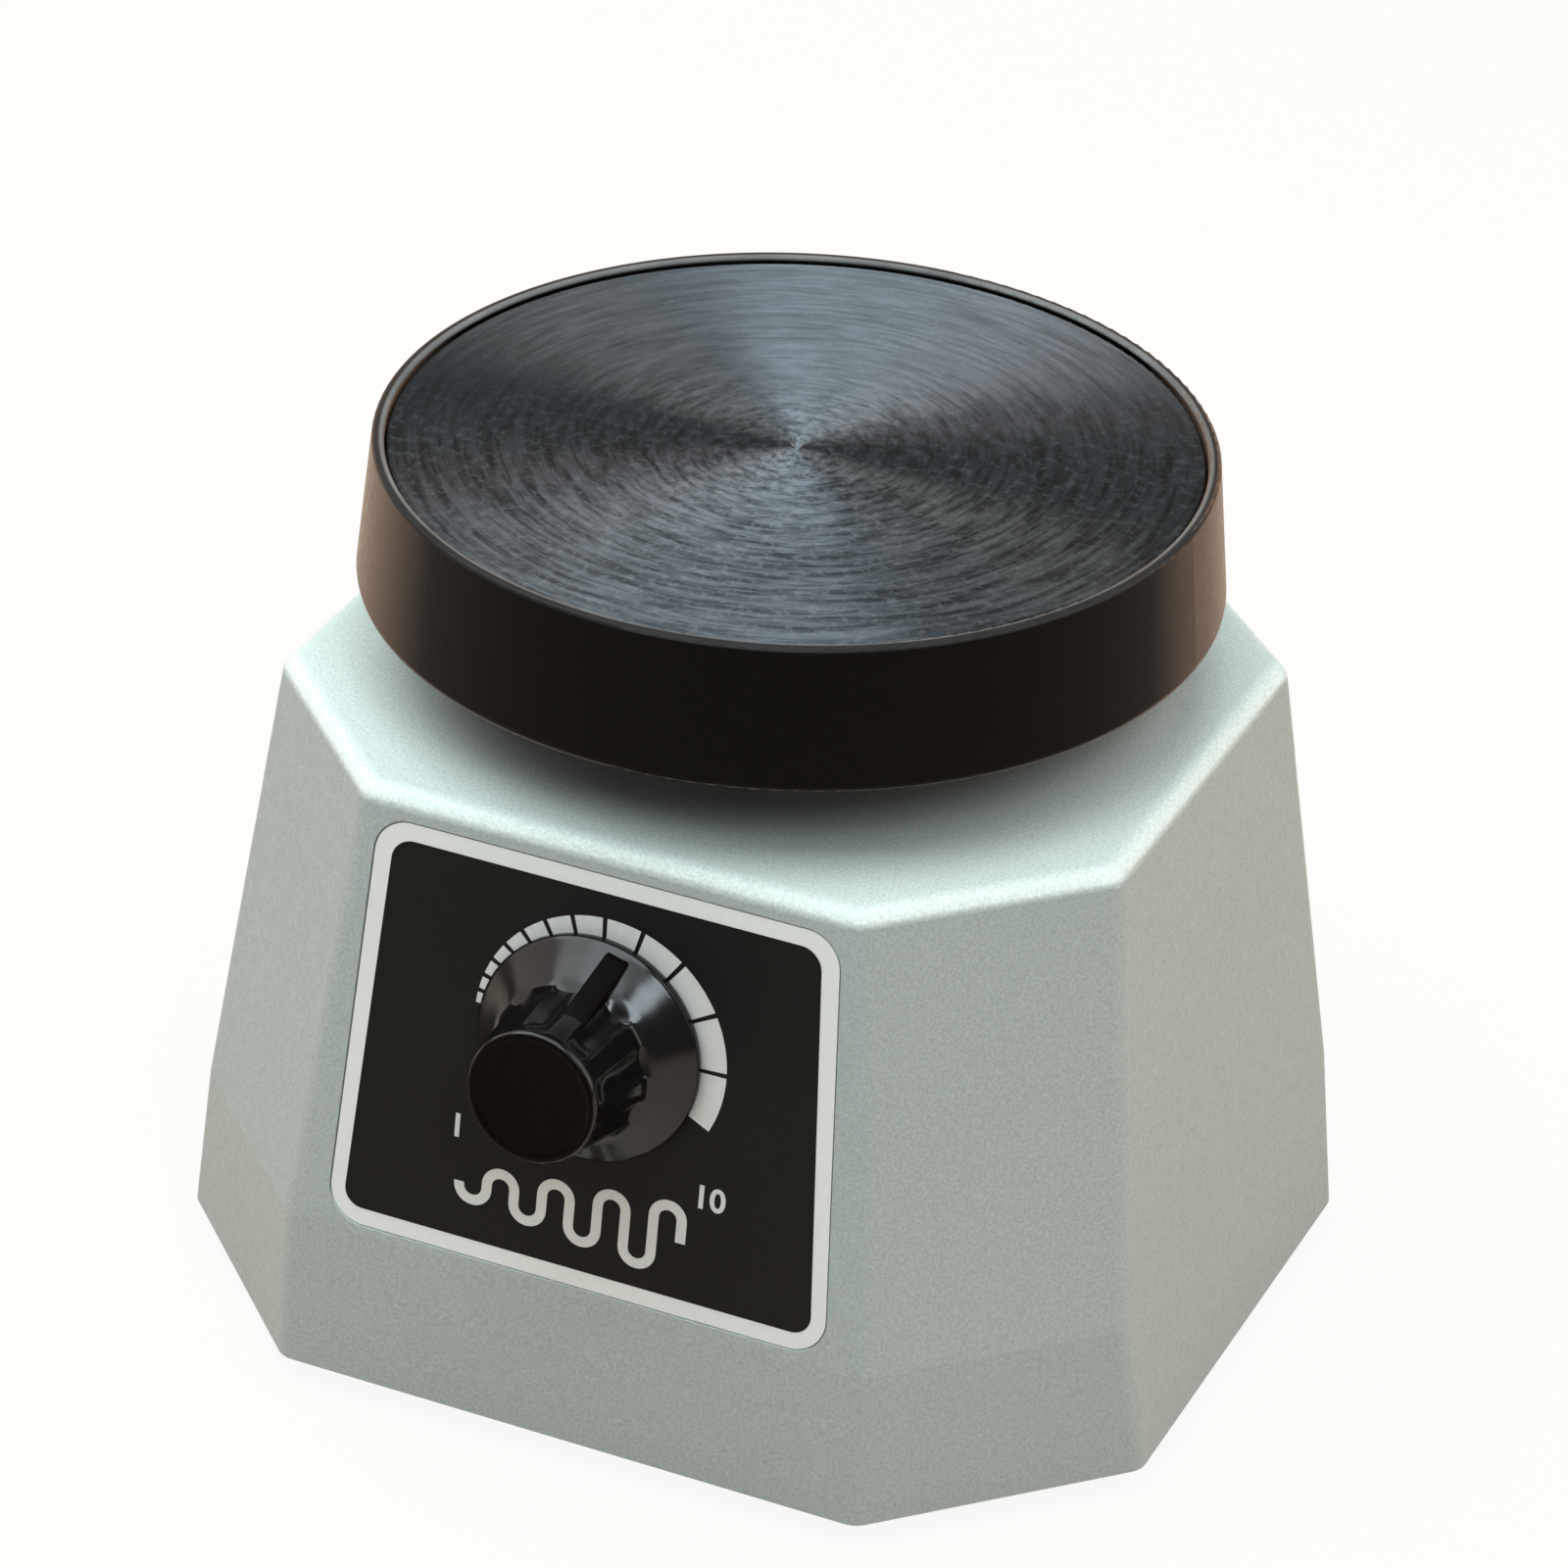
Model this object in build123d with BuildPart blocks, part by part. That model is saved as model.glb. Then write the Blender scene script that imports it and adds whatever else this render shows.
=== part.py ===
"""Small round vibrating table for dental plaster: an electromagnet shakes a sprung plate.

The floor is z = 0, +Z is up, and the control face looks along -Y. Sizes are in millimetres.
"""

from math import atan2, cos, degrees, sin, sqrt
import os

from build123d import *

# Housing
HOUSING_HEIGHT = 78.2
WAIST_HEIGHT = 20.4
BASE_WIDTH, BASE_DEPTH, BASE_CUT = 128.0, 117.0, 26.0
WAIST_WIDTH, WAIST_DEPTH, WAIST_CUT = 122.4, 115.0, 23.6
TOP_WIDTH, TOP_DEPTH, TOP_CUT = 108.4, 100.0, 22.8
CORNER_RADIUS = 3.2
TOP_EDGE_RADIUS = 2.6
WALL = 4.0
ROOF = 4.0
TOP_HOLE_RADIUS = 25.0
RIM_RECESS = 2.0
RIM_WALL = 2.0
PLATE_CLEARANCE = 0.25
BOSS_STEP = 2.2
BOSS_RADIUS = 4.5
BOSS_HEIGHT = 29.5
BOSS_PILOT_RADIUS = 1.5
BOSS_PILOT_DEPTH = 12.0

# Base plate and feet
BASE_PLATE_THICKNESS = 1.5
FOOT_STAND = 3.0
FOOT_FROM_SPRING, FOOT_FROM_SCREW = 12.0, 13.5
FOOT_RADIUS = 7.0
FOOT_TAPER = 0.8
FOOT_EDGE = 0.6
FOOT_SCREW_RECESS = 2.6

# Fasteners: shank radius, head radius and head height
M3_RADIUS, M3_HEAD_RADIUS, M3_HEAD = 1.5, 2.7, 1.8
M4_RADIUS, M4_HEAD_RADIUS, M4_HEAD = 2.0, 3.5, 2.4
M3_NUT_FLATS, M3_NUT = 5.5, 2.4
M4_NUT_FLATS, M4_NUT = 7.0, 3.2
SLOT_WIDTH, SLOT_DEPTH = 0.8, 0.8
SLOT_OVERRUN = 0.5
SCREW_CLEARANCE = 0.2
FASTENER_LENGTH = 8.0

# Control label, in a recess of the sloping front face
LABEL_MIDDLE_Z = 51.2
LABEL_TOP_WIDTH = 58.8
LABEL_BOTTOM_WIDTH = 65.2
LABEL_HEIGHT = 53.4
LABEL_CORNER_RADIUS = 4.5
LABEL_THICKNESS = 0.6
LABEL_RECESS = 0.7
LABEL_MARGIN = 0.2

# Speed control, on the axis square to the front face
DIAL_RISE = 5.1
BUSHING_RADIUS = 3.5
BUSHING_REACH = 3.2
SHAFT_RADIUS = 3.0
SHAFT_CLEARANCE = 0.05
SHAFT_REACH = 14.0
POT_RADIUS = 8.2
POT_DEPTH = 9.0
POT_SHELL = 0.8
WIPER_RADIUS = 6.6
WIPER_THICKNESS = 1.4
POT_NUT_FLATS, POT_NUT = 10.0, 2.2
POT_WASHER_RADIUS, POT_WASHER = 6.0, 0.5
TERMINAL_WIDTH, TERMINAL_LENGTH, TERMINAL_THICKNESS = 1.6, 5.0, 0.6
TERMINAL_PITCH = 4.0

# Knob
KNOB_LIFT = 0.3
SKIRT_RADIUS = 14.2
SKIRT_EDGE = 1.4
SKIRT_TOP_RADIUS = 10.6
SKIRT_HEIGHT = 4.6
GRIP_BASE_RADIUS = 9.7
GRIP_TOP_RADIUS = 8.4
KNOB_HEIGHT = 17.0
KNOB_TOP_EDGE = 0.5
KNOB_CAVITY_RADIUS = 7.0
KNOB_CAVITY = 3.4
FLUTE_COUNT = 9
FLUTE_RADIUS = 1.9
FLUTE_BITE = 1.0
POINTER_WIDTH = 2.8
POINTER_TIP = 13.4
POINTER_TIP_HEIGHT = 0.9
POINTER_ROOT_HEIGHT = 12.4
POINTER_ANGLE = 14.0
INSERT_RADIUS = 5.0
INSERT_LENGTH = 10.5
SET_SCREW_RADIUS = 1.6
SET_SCREW_LENGTH = 3.6

# Vibrating table
TABLE_GAP = 11.7
RIM_HEIGHT = 18.0
RIM_TOP_RADIUS = 50.3
RIM_BOTTOM_RADIUS = 52.1
RIM_LIP = 1.5
RIM_EDGE = 0.5
RIM_BOTTOM_EDGE = 1.0
RIM_SKIRT_WALL = 3.0
RIM_LEDGE_RADIUS = 41.5
RIM_LEDGE = 2.0
PLATE_THICKNESS = 6.0
PLATE_DROP = 0.8
PLATE_FIT = 0.25
PLATE_EDGE = 0.3
CENTRE_MARK_RADIUS = 0.8
RIM_SCREW_CIRCLE = 44.2
PLATE_SCREW_CIRCLE = 15.0
PLATE_THREAD_DEPTH = 4.0
STEM_RADIUS = 9.0
STEM_TOP_FLANGE_RADIUS = 22.0
STEM_TOP_FLANGE = 4.0
STEM_FOOT_RADIUS = 16.0
STEM_FOOT = 4.0
STEM_SCREW_CIRCLE = 12.6

# Electromagnet
CORE_WIDTH = 48.0
CORE_HEIGHT = 32.0
CORE_STACK = 20.0
CORE_LEG = 8.0
CORE_NUT_GAP = 0.1
ARMATURE_THICKNESS = 8.0
AIR_GAP = 1.5
BOBBIN_CLEARANCE = 0.3
BOBBIN_WALL = 1.0
COIL_WALL = 5.6
BRACKET_THICKNESS = 2.0
BRACKET_FOOT = 12.0
BRACKET_LENGTH = 56.0
BRACKET_HEIGHT = 8.0
BRACKET_SCREW_X = 20.0
ARMATURE_SCREW_X = 20.5

# Spring suspension
SPRING_PLATE_WIDTH, SPRING_PLATE_DEPTH = 86.0, 60.0
SPRING_PLATE_CORNER = 9.0
SPRING_PLATE_THICKNESS = 3.0
SPRING_X, SPRING_Y = 34.0, 21.0
PILLAR_FLATS = 8.0
PILLAR_HEIGHT = 21.5
CUP_RADIUS = 7.4
CUP_FLOOR = 1.0
CUP_LIP = 1.5
CUP_WALL = 1.0
SPRING_RADIUS = 4.9
SPRING_WIRE = 1.6
SPRING_TURNS = 5.5
SPRING_GROUND = 0.5

# Dust boot
BOOT_FLANGE_RADIUS = 29.0
BOOT_SKIN = 1.5
BOOT_FIT = 0.3
BOOT_SPIGOT_WALL = 2.0
BOOT_COLLAR_WALL = 2.4
BOOT_COLLAR_HEIGHT = 4.0
BOOT_TOP_GAP = 5.2
FOLD_RISES = (0.0, 0.6, 0.25, 0.85, 1.0)

# Circuit board
BOARD_WIDTH, BOARD_DEPTH, BOARD_THICKNESS = 66.0, 22.0, 1.6
BOARD_Y = -38.0
STANDOFF_HEIGHT = 6.0
STANDOFF_RADIUS = 2.6
STANDOFF_PIN_RADIUS = 1.4
STANDOFF_PIN = 1.4
STANDOFF_EDGE = 3.6
TRIAC_X = -19.0
TRIAC_WIDTH, TRIAC_DEPTH, TRIAC_HEIGHT = 10.0, 4.4, 15.0
TRIAC_LEG = 3.0
TRIAC_LEG_PITCH, TRIAC_LEG_WIDTH, TRIAC_LEG_THICKNESS = 2.5, 1.0, 0.6
SINK_WIDTH, SINK_HEIGHT, SINK_WALL, SINK_FIN = 16.0, 19.0, 1.5, 8.0
CAPACITOR_X = 5.5
CAPACITOR_WIDTH, CAPACITOR_DEPTH, CAPACITOR_HEIGHT = 14.0, 8.0, 13.0
CAPACITOR_EDGE = 1.0
RESISTOR_X, RESISTOR_PITCH = -10.2, 4.5
RESISTOR_RADIUS, RESISTOR_LENGTH = 1.2, 6.5
BLOCK_X = 23.5
BLOCK_WIDTH, BLOCK_DEPTH, BLOCK_HEIGHT = 16.0, 8.0, 10.0
BLOCK_WAYS = 4
LEAD_RADIUS = 0.8
LEAD_GAP = 2.6
LEAD_DROP = 7.8
COIL_LEAD_BEND, POT_LEAD_BEND = 2.4, 4.8

# Cable gland and earth point
GLAND_Z = 15.5
GLAND_BORE_RADIUS = 3.3
GLAND_TAIL_BORE_RADIUS = 4.3
GLAND_STEP = 1.0
GLAND_THREAD_RADIUS = 6.0
GLAND_PAD_RADIUS = 8.6
GLAND_PAD = 0.9
GLAND_INNER_PAD = 0.4
GLAND_FLATS, GLAND_FLANGE = 14.0, 3.4
GLAND_NECK_RADIUS, GLAND_NECK = 5.2, 3.2
GLAND_SEAL = 2.6
GLAND_NUT_RADIUS, GLAND_NUT_LENGTH = 6.8, 8.6
GLAND_NUT_RIBS = 12
GLAND_RIB_RADIUS = 0.57
GLAND_NUT_EDGE = 2.3
GLAND_NUT_FIT = 0.3
GLAND_LOCK_FLATS, GLAND_LOCK_NUT = 15.0, 3.0
GLAND_TAIL = 2.0
EARTH_X, EARTH_Y = 24.0, 42.0
EARTH_WASHER_RADIUS, EARTH_WASHER = 4.5, 0.8

# Heights worked out from the sizes above
RIM_Z = FOOT_STAND
BASE_PLATE_BOTTOM = RIM_Z + RIM_RECESS
FLOOR = BASE_PLATE_BOTTOM + BASE_PLATE_THICKNESS
WAIST_Z = RIM_Z + WAIST_HEIGHT
TOP_Z = RIM_Z + HOUSING_HEIGHT
ROOF_Z = TOP_Z - ROOF
TABLE_BOTTOM = TOP_Z + TABLE_GAP
TABLE_TOP = TABLE_BOTTOM + RIM_HEIGHT
PLATE_TOP = TABLE_TOP - PLATE_DROP
PLATE_BOTTOM = PLATE_TOP - PLATE_THICKNESS
LEDGE_BOTTOM = PLATE_BOTTOM - RIM_LEDGE
CORE_TOP = FLOOR + CORE_HEIGHT
ARMATURE_BOTTOM = CORE_TOP + AIR_GAP
SPRING_PLATE_BOTTOM = ARMATURE_BOTTOM + ARMATURE_THICKNESS
SPRING_PLATE_TOP = SPRING_PLATE_BOTTOM + SPRING_PLATE_THICKNESS
STEM_FOOT_TOP = SPRING_PLATE_TOP + STEM_FOOT
STEM_FLANGE_BOTTOM = PLATE_BOTTOM - STEM_TOP_FLANGE
PILLAR_TOP = FLOOR + PILLAR_HEIGHT
SPRING_BOTTOM = PILLAR_TOP + CUP_FLOOR
SPRING_TOP = SPRING_PLATE_BOTTOM - CUP_FLOOR
BOARD_BOTTOM = FLOOR + STANDOFF_HEIGHT
BOARD_TOP = BOARD_BOTTOM + BOARD_THICKNESS

# The three levels of the housing: height, width, depth and corner cut
BASE_LEVEL = (RIM_Z, BASE_WIDTH, BASE_DEPTH, BASE_CUT)
WAIST_LEVEL = (WAIST_Z, WAIST_WIDTH, WAIST_DEPTH, WAIST_CUT)
TOP_LEVEL = (TOP_Z, TOP_WIDTH, TOP_DEPTH, TOP_CUT)


def section_at(z, inset=0.0):
    """Width, depth and corner cut of the housing at a height, drawn in by an even wall."""
    lower, upper = (BASE_LEVEL, WAIST_LEVEL) if z < WAIST_Z else (WAIST_LEVEL, TOP_LEVEL)
    share = (z - lower[0]) / (upper[0] - lower[0])
    width, depth, cut = (low + (high - low) * share for low, high in zip(lower[1:], upper[1:]))
    return width - 2 * inset, depth - 2 * inset, cut - inset * (2 - sqrt(2))


# Screw bosses in the four cut corners, with a foot beside each, clear of the spring's pillar
WALL_SECTIONS = [section_at(z, WALL) for z in (FLOOR, WAIST_Z)]
BOSS_X = min(width - cut for width, depth, cut in WALL_SECTIONS) / 2 - BOSS_STEP
BOSS_Y = min(depth - cut for width, depth, cut in WALL_SECTIONS) / 2 - BOSS_STEP
FOOT_X = SPRING_X + FOOT_FROM_SPRING
FOOT_Y = BOSS_Y - FOOT_FROM_SCREW

# The gland's pads stand just clear of the sloping wall, inside and outside
GLAND_REACH = GLAND_LOCK_FLATS / sqrt(3)
GLAND_LEVELS = (GLAND_Z - GLAND_REACH, WAIST_Z, GLAND_Z + GLAND_REACH)
GLAND_INNER_Y = min(section_at(z, WALL)[1] for z in GLAND_LEVELS) / 2 - GLAND_INNER_PAD
GLAND_PAD_Y = max(section_at(z)[1] for z in GLAND_LEVELS) / 2 + GLAND_PAD

# The front face leans back by this angle
FACE_RISE = TOP_Z - WAIST_Z
FACE_RUN = (WAIST_DEPTH - TOP_DEPTH) / 2
FACE_ANGLE = atan2(FACE_RUN, FACE_RISE)
FACE_NORMAL = Vector(0, -cos(FACE_ANGLE), sin(FACE_ANGLE))
LABEL_MIDDLE = Vector(0, -TOP_DEPTH / 2 - FACE_RUN * (TOP_Z - LABEL_MIDDLE_Z) / FACE_RISE, LABEL_MIDDLE_Z)
FACE_PLANE = Plane(origin=LABEL_MIDDLE, x_dir=(1, 0, 0), z_dir=FACE_NORMAL)
DIAL_PLANE = FACE_PLANE.shift_origin(FACE_PLANE.from_local_coords(Vector(0, DIAL_RISE, 0)))
LABEL_FLOOR = -LABEL_RECESS
LABEL_FACE = LABEL_FLOOR + LABEL_THICKNESS
INNER_FACE = -WALL * cos(FACE_ANGLE)
POT_BACK = INNER_FACE - POT_DEPTH

FOUR_CORNERS = [(1, 1), (-1, 1), (-1, -1), (1, -1)]
FOOT_NAMES = ["foot_rear_right", "foot_rear_left", "foot_front_left", "foot_front_right"]
SPRING_NAMES = ["spring_rear_right", "spring_rear_left", "spring_front_left", "spring_front_right"]


def corners(x, y):
    """The four points at plus and minus x and y."""
    return [(sx * x, sy * y) for sx, sy in FOUR_CORNERS]


def housing_section(sketch, z, inset=0.0):
    """Draws the housing's outline at a height: a rectangle with 45 degree cuts and soft corners."""
    width, depth, cut = section_at(z, inset)
    Rectangle(width, depth)
    chamfer(sketch.vertices(), cut)
    fillet(sketch.vertices(), CORNER_RADIUS)


def label_outline(sketch, margin=0.0):
    """Draws the label: a little wider at its foot than at its head, with round corners."""
    half_height = LABEL_HEIGHT / 2 + margin
    half_top = LABEL_TOP_WIDTH / 2 + margin
    half_bottom = LABEL_BOTTOM_WIDTH / 2 + margin
    Polygon(
        (-half_bottom, -half_height),
        (half_bottom, -half_height),
        (half_top, half_height),
        (-half_top, half_height),
        align=None,
    )
    fillet(sketch.vertices(), LABEL_CORNER_RADIUS + margin)


def rod(plane, points, radius, length):
    """Adds a round bar at each point of a plane, along the plane's normal."""
    with BuildSketch(plane) as discs:
        with Locations(*points):
            Circle(radius)
    extrude(discs.sketch, amount=length)


def bore(plane, points, radius, length):
    """Cuts a round hole at each point of a plane, along the plane's normal."""
    with BuildSketch(plane) as discs:
        with Locations(*points):
            Circle(radius)
    extrude(discs.sketch, amount=length, mode=Mode.SUBTRACT)


def hexagon(plane, points, flats, length):
    """Adds a hexagonal bar at each point of a plane, along the plane's normal."""
    with BuildSketch(plane) as hexagons:
        with Locations(*points):
            RegularPolygon(flats / 2, 6, major_radius=False)
    extrude(hexagons.sketch, amount=length)


def slot_heads(plane, points):
    """Cuts a screwdriver slot into each screw head, down from a plane through their tops."""
    with BuildSketch(plane) as slots:
        with Locations(*points):
            Rectangle(2 * (M4_HEAD_RADIUS + SLOT_OVERRUN), SLOT_WIDTH)
    extrude(slots.sketch, amount=-SLOT_DEPTH, mode=Mode.SUBTRACT)


def at(z):
    """The level plane at a height."""
    return Plane.XY.offset(z)


def facing_down(z):
    """The level plane at a height, seen from below, with x the same way."""
    return Plane(origin=(0, 0, z), x_dir=(1, 0, 0), z_dir=(0, 0, -1))


def gland_at(y):
    """The plane square to the gland's axis at a depth."""
    return Plane(origin=(0, y, GLAND_Z), x_dir=(-1, 0, 0), z_dir=(0, 1, 0))


# Housing: a casting with an even wall, open below, with a recess for the label
with BuildPart() as housing:
    for level in (RIM_Z, WAIST_Z, TOP_Z):
        with BuildSketch(at(level)) as outside:
            housing_section(outside, level)
    loft(ruled=True)
    fillet(housing.faces().sort_by(Axis.Z)[-1].outer_wire().edges(), TOP_EDGE_RADIUS)
    for level in (FLOOR, WAIST_Z, ROOF_Z):
        with BuildSketch(at(level)) as inside:
            housing_section(inside, level, WALL)
    loft(ruled=True, mode=Mode.SUBTRACT)
    with BuildSketch(at(RIM_Z)) as rabbet:
        housing_section(rabbet, RIM_Z, RIM_WALL)
    extrude(amount=FLOOR - RIM_Z, mode=Mode.SUBTRACT)
    rod(at(FLOOR), corners(BOSS_X, BOSS_Y), BOSS_RADIUS, BOSS_HEIGHT)
    bore(at(FLOOR), corners(BOSS_X, BOSS_Y), BOSS_PILOT_RADIUS, BOSS_PILOT_DEPTH)
    bore(at(ROOF_Z), [(0, 0)], TOP_HOLE_RADIUS, ROOF)
    with BuildSketch(FACE_PLANE) as recess:
        label_outline(recess, LABEL_MARGIN)
    extrude(amount=LABEL_FLOOR, mode=Mode.SUBTRACT)
    bore(DIAL_PLANE.offset(-WALL), [(0, 0)], BUSHING_RADIUS + SCREW_CLEARANCE, WALL)
    rod(gland_at(GLAND_INNER_Y), [(0, 0)], GLAND_PAD_RADIUS, GLAND_PAD_Y - GLAND_INNER_Y)
    bore(gland_at(GLAND_INNER_Y), [(0, 0)], GLAND_THREAD_RADIUS, GLAND_PAD_Y - GLAND_INNER_Y)

# Base plate: sheet steel let into the foot of the housing
with BuildPart() as base_plate:
    with BuildSketch(at(BASE_PLATE_BOTTOM)) as plate_outline:
        housing_section(plate_outline, RIM_Z, RIM_WALL + PLATE_CLEARANCE)
    extrude(amount=BASE_PLATE_THICKNESS)
    base_screw_points = corners(BOSS_X, BOSS_Y) + corners(FOOT_X, FOOT_Y)
    bore(at(BASE_PLATE_BOTTOM), base_screw_points, M3_RADIUS + SCREW_CLEARANCE, BASE_PLATE_THICKNESS)
    bracket_y = CORE_STACK / 2 + BRACKET_THICKNESS / 2 + BRACKET_FOOT / 2
    plate_m4_points = corners(BRACKET_SCREW_X, bracket_y) + corners(SPRING_X, SPRING_Y) + [(EARTH_X, EARTH_Y)]
    bore(at(BASE_PLATE_BOTTOM), plate_m4_points, M4_RADIUS, BASE_PLATE_THICKNESS)
    standoff_x = BOARD_WIDTH / 2 - STANDOFF_EDGE
    standoff_rows = BOARD_DEPTH / 2 - STANDOFF_EDGE
    standoff_points = [(x, BOARD_Y + y) for x, y in corners(standoff_x, standoff_rows)]
    bore(at(BASE_PLATE_BOTTOM), standoff_points, STANDOFF_PIN_RADIUS, BASE_PLATE_THICKNESS)

with BuildPart() as base_plate_screws:
    rod(facing_down(BASE_PLATE_BOTTOM), corners(BOSS_X, -BOSS_Y), M3_HEAD_RADIUS, M3_HEAD)
    rod(at(BASE_PLATE_BOTTOM), corners(BOSS_X, BOSS_Y), M3_RADIUS, FASTENER_LENGTH + BASE_PLATE_THICKNESS)
    slot_heads(facing_down(BASE_PLATE_BOTTOM - M3_HEAD), corners(BOSS_X, -BOSS_Y))

# Feet: rubber buttons, each held by a screw and a nut through the base plate
feet = []
for x, y in corners(FOOT_X, FOOT_Y):
    with BuildPart() as foot:
        with BuildSketch(at(0)):
            with Locations((x, y)):
                Circle(FOOT_RADIUS)
        extrude(amount=BASE_PLATE_BOTTOM, taper=degrees(atan2(-FOOT_TAPER, BASE_PLATE_BOTTOM)))
        chamfer(foot.faces().sort_by(Axis.Z)[0].outer_wire().edges(), FOOT_EDGE)
        bore(at(0), [(x, y)], M3_HEAD_RADIUS + 2 * SCREW_CLEARANCE, FOOT_SCREW_RECESS)
        bore(at(0), [(x, y)], M3_RADIUS + SCREW_CLEARANCE, BASE_PLATE_BOTTOM)
    feet.append(foot)

with BuildPart() as foot_screws:
    rod(facing_down(FOOT_SCREW_RECESS), corners(FOOT_X, -FOOT_Y), M3_HEAD_RADIUS, M3_HEAD)
    rod(at(FOOT_SCREW_RECESS), corners(FOOT_X, FOOT_Y), M3_RADIUS, FLOOR + M3_NUT - FOOT_SCREW_RECESS)
    slot_heads(facing_down(FOOT_SCREW_RECESS - M3_HEAD), corners(FOOT_X, -FOOT_Y))

with BuildPart() as foot_nuts:
    hexagon(at(FLOOR), corners(FOOT_X, FOOT_Y), M3_NUT_FLATS, M3_NUT)
    bore(at(FLOOR), corners(FOOT_X, FOOT_Y), M3_RADIUS, M3_NUT)

# Control label: a thin plate bonded to the floor of the recess
with BuildPart() as control_label:
    with BuildSketch(FACE_PLANE.offset(LABEL_FLOOR)) as label_shape:
        label_outline(label_shape)
    extrude(amount=LABEL_THICKNESS)
    bore(DIAL_PLANE.offset(LABEL_FLOOR), [(0, 0)], BUSHING_RADIUS + SCREW_CLEARANCE, LABEL_THICKNESS)

# Potentiometer: a round can behind the wall, with its threaded bushing through wall and label
with BuildPart() as pot_body:
    rod(DIAL_PLANE.offset(POT_BACK), [(0, 0)], POT_RADIUS, POT_DEPTH)
    bore(DIAL_PLANE.offset(POT_BACK + POT_SHELL), [(0, 0)], POT_RADIUS - POT_SHELL, POT_DEPTH - 2 * POT_SHELL)
    rod(DIAL_PLANE.offset(INNER_FACE), [(0, 0)], BUSHING_RADIUS, BUSHING_REACH - INNER_FACE)
    bushing_length = BUSHING_REACH - INNER_FACE + POT_SHELL
    bore(DIAL_PLANE.offset(INNER_FACE - POT_SHELL), [(0, 0)], SHAFT_RADIUS + SHAFT_CLEARANCE, bushing_length)

with BuildPart() as pot_terminals:
    terminal_middle = -POT_RADIUS - TERMINAL_LENGTH / 2
    terminal_row = [(step * TERMINAL_PITCH, terminal_middle) for step in (-1, 0, 1)]
    with BuildSketch(DIAL_PLANE.offset(POT_BACK + POT_SHELL)):
        with Locations(*terminal_row):
            Rectangle(TERMINAL_WIDTH, TERMINAL_LENGTH)
    extrude(amount=TERMINAL_THICKNESS)
    with BuildSketch(DIAL_PLANE.offset(POT_BACK + POT_SHELL)):
        with Locations((0, -POT_RADIUS - TERMINAL_THICKNESS)):
            Rectangle(2 * TERMINAL_PITCH + TERMINAL_WIDTH, 2 * TERMINAL_THICKNESS)
    extrude(amount=2 * TERMINAL_THICKNESS)
    with BuildSketch(DIAL_PLANE.offset(POT_BACK)):
        Circle(POT_RADIUS)
    extrude(amount=POT_DEPTH, mode=Mode.SUBTRACT)

with BuildPart() as pot_washer:
    rod(DIAL_PLANE.offset(LABEL_FACE), [(0, 0)], POT_WASHER_RADIUS, POT_WASHER)
    bore(DIAL_PLANE.offset(LABEL_FACE), [(0, 0)], BUSHING_RADIUS, POT_WASHER)

with BuildPart() as pot_nut:
    hexagon(DIAL_PLANE.offset(LABEL_FACE + POT_WASHER), [(0, 0)], POT_NUT_FLATS, POT_NUT)
    bore(DIAL_PLANE.offset(LABEL_FACE + POT_WASHER), [(0, 0)], BUSHING_RADIUS, POT_NUT)

with BuildPart() as pot_wiper:
    wiper_back = POT_BACK + POT_DEPTH / 2
    rod(DIAL_PLANE.offset(wiper_back), [(0, 0)], WIPER_RADIUS, WIPER_THICKNESS)

with BuildPart() as pot_shaft:
    shaft_back = wiper_back + WIPER_THICKNESS
    rod(DIAL_PLANE.offset(shaft_back), [(0, 0)], SHAFT_RADIUS, SHAFT_REACH - shaft_back)

# Knob: a conical skirt with a sloping pointer fin, and a fluted grip over a brass insert
SKIRT_TOP = KNOB_LIFT + SKIRT_HEIGHT
KNOB_TOP = KNOB_LIFT + KNOB_HEIGHT
CAVITY_TOP = KNOB_LIFT + KNOB_CAVITY
DIAL_AXIS = Axis(DIAL_PLANE.origin, DIAL_PLANE.z_dir)
POINTER_SIDE = DIAL_PLANE.x_dir.rotate(DIAL_AXIS, -POINTER_ANGLE)
KNOB_PLANE = Plane(origin=DIAL_PLANE.origin, x_dir=POINTER_SIDE, z_dir=DIAL_PLANE.z_dir)
HALF_SECTION = Plane(origin=DIAL_PLANE.origin, x_dir=DIAL_PLANE.x_dir, z_dir=-DIAL_PLANE.y_dir)
POINTER_PLANE = Plane(origin=DIAL_PLANE.origin, x_dir=KNOB_PLANE.y_dir, z_dir=POINTER_SIDE)
SCREW_START = Vector(0, -SHAFT_RADIUS, CAVITY_TOP + INSERT_LENGTH / 2)
SCREW_PLANE = Plane(
    origin=KNOB_PLANE.from_local_coords(SCREW_START),
    x_dir=KNOB_PLANE.x_dir,
    z_dir=-KNOB_PLANE.y_dir,
)
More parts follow.
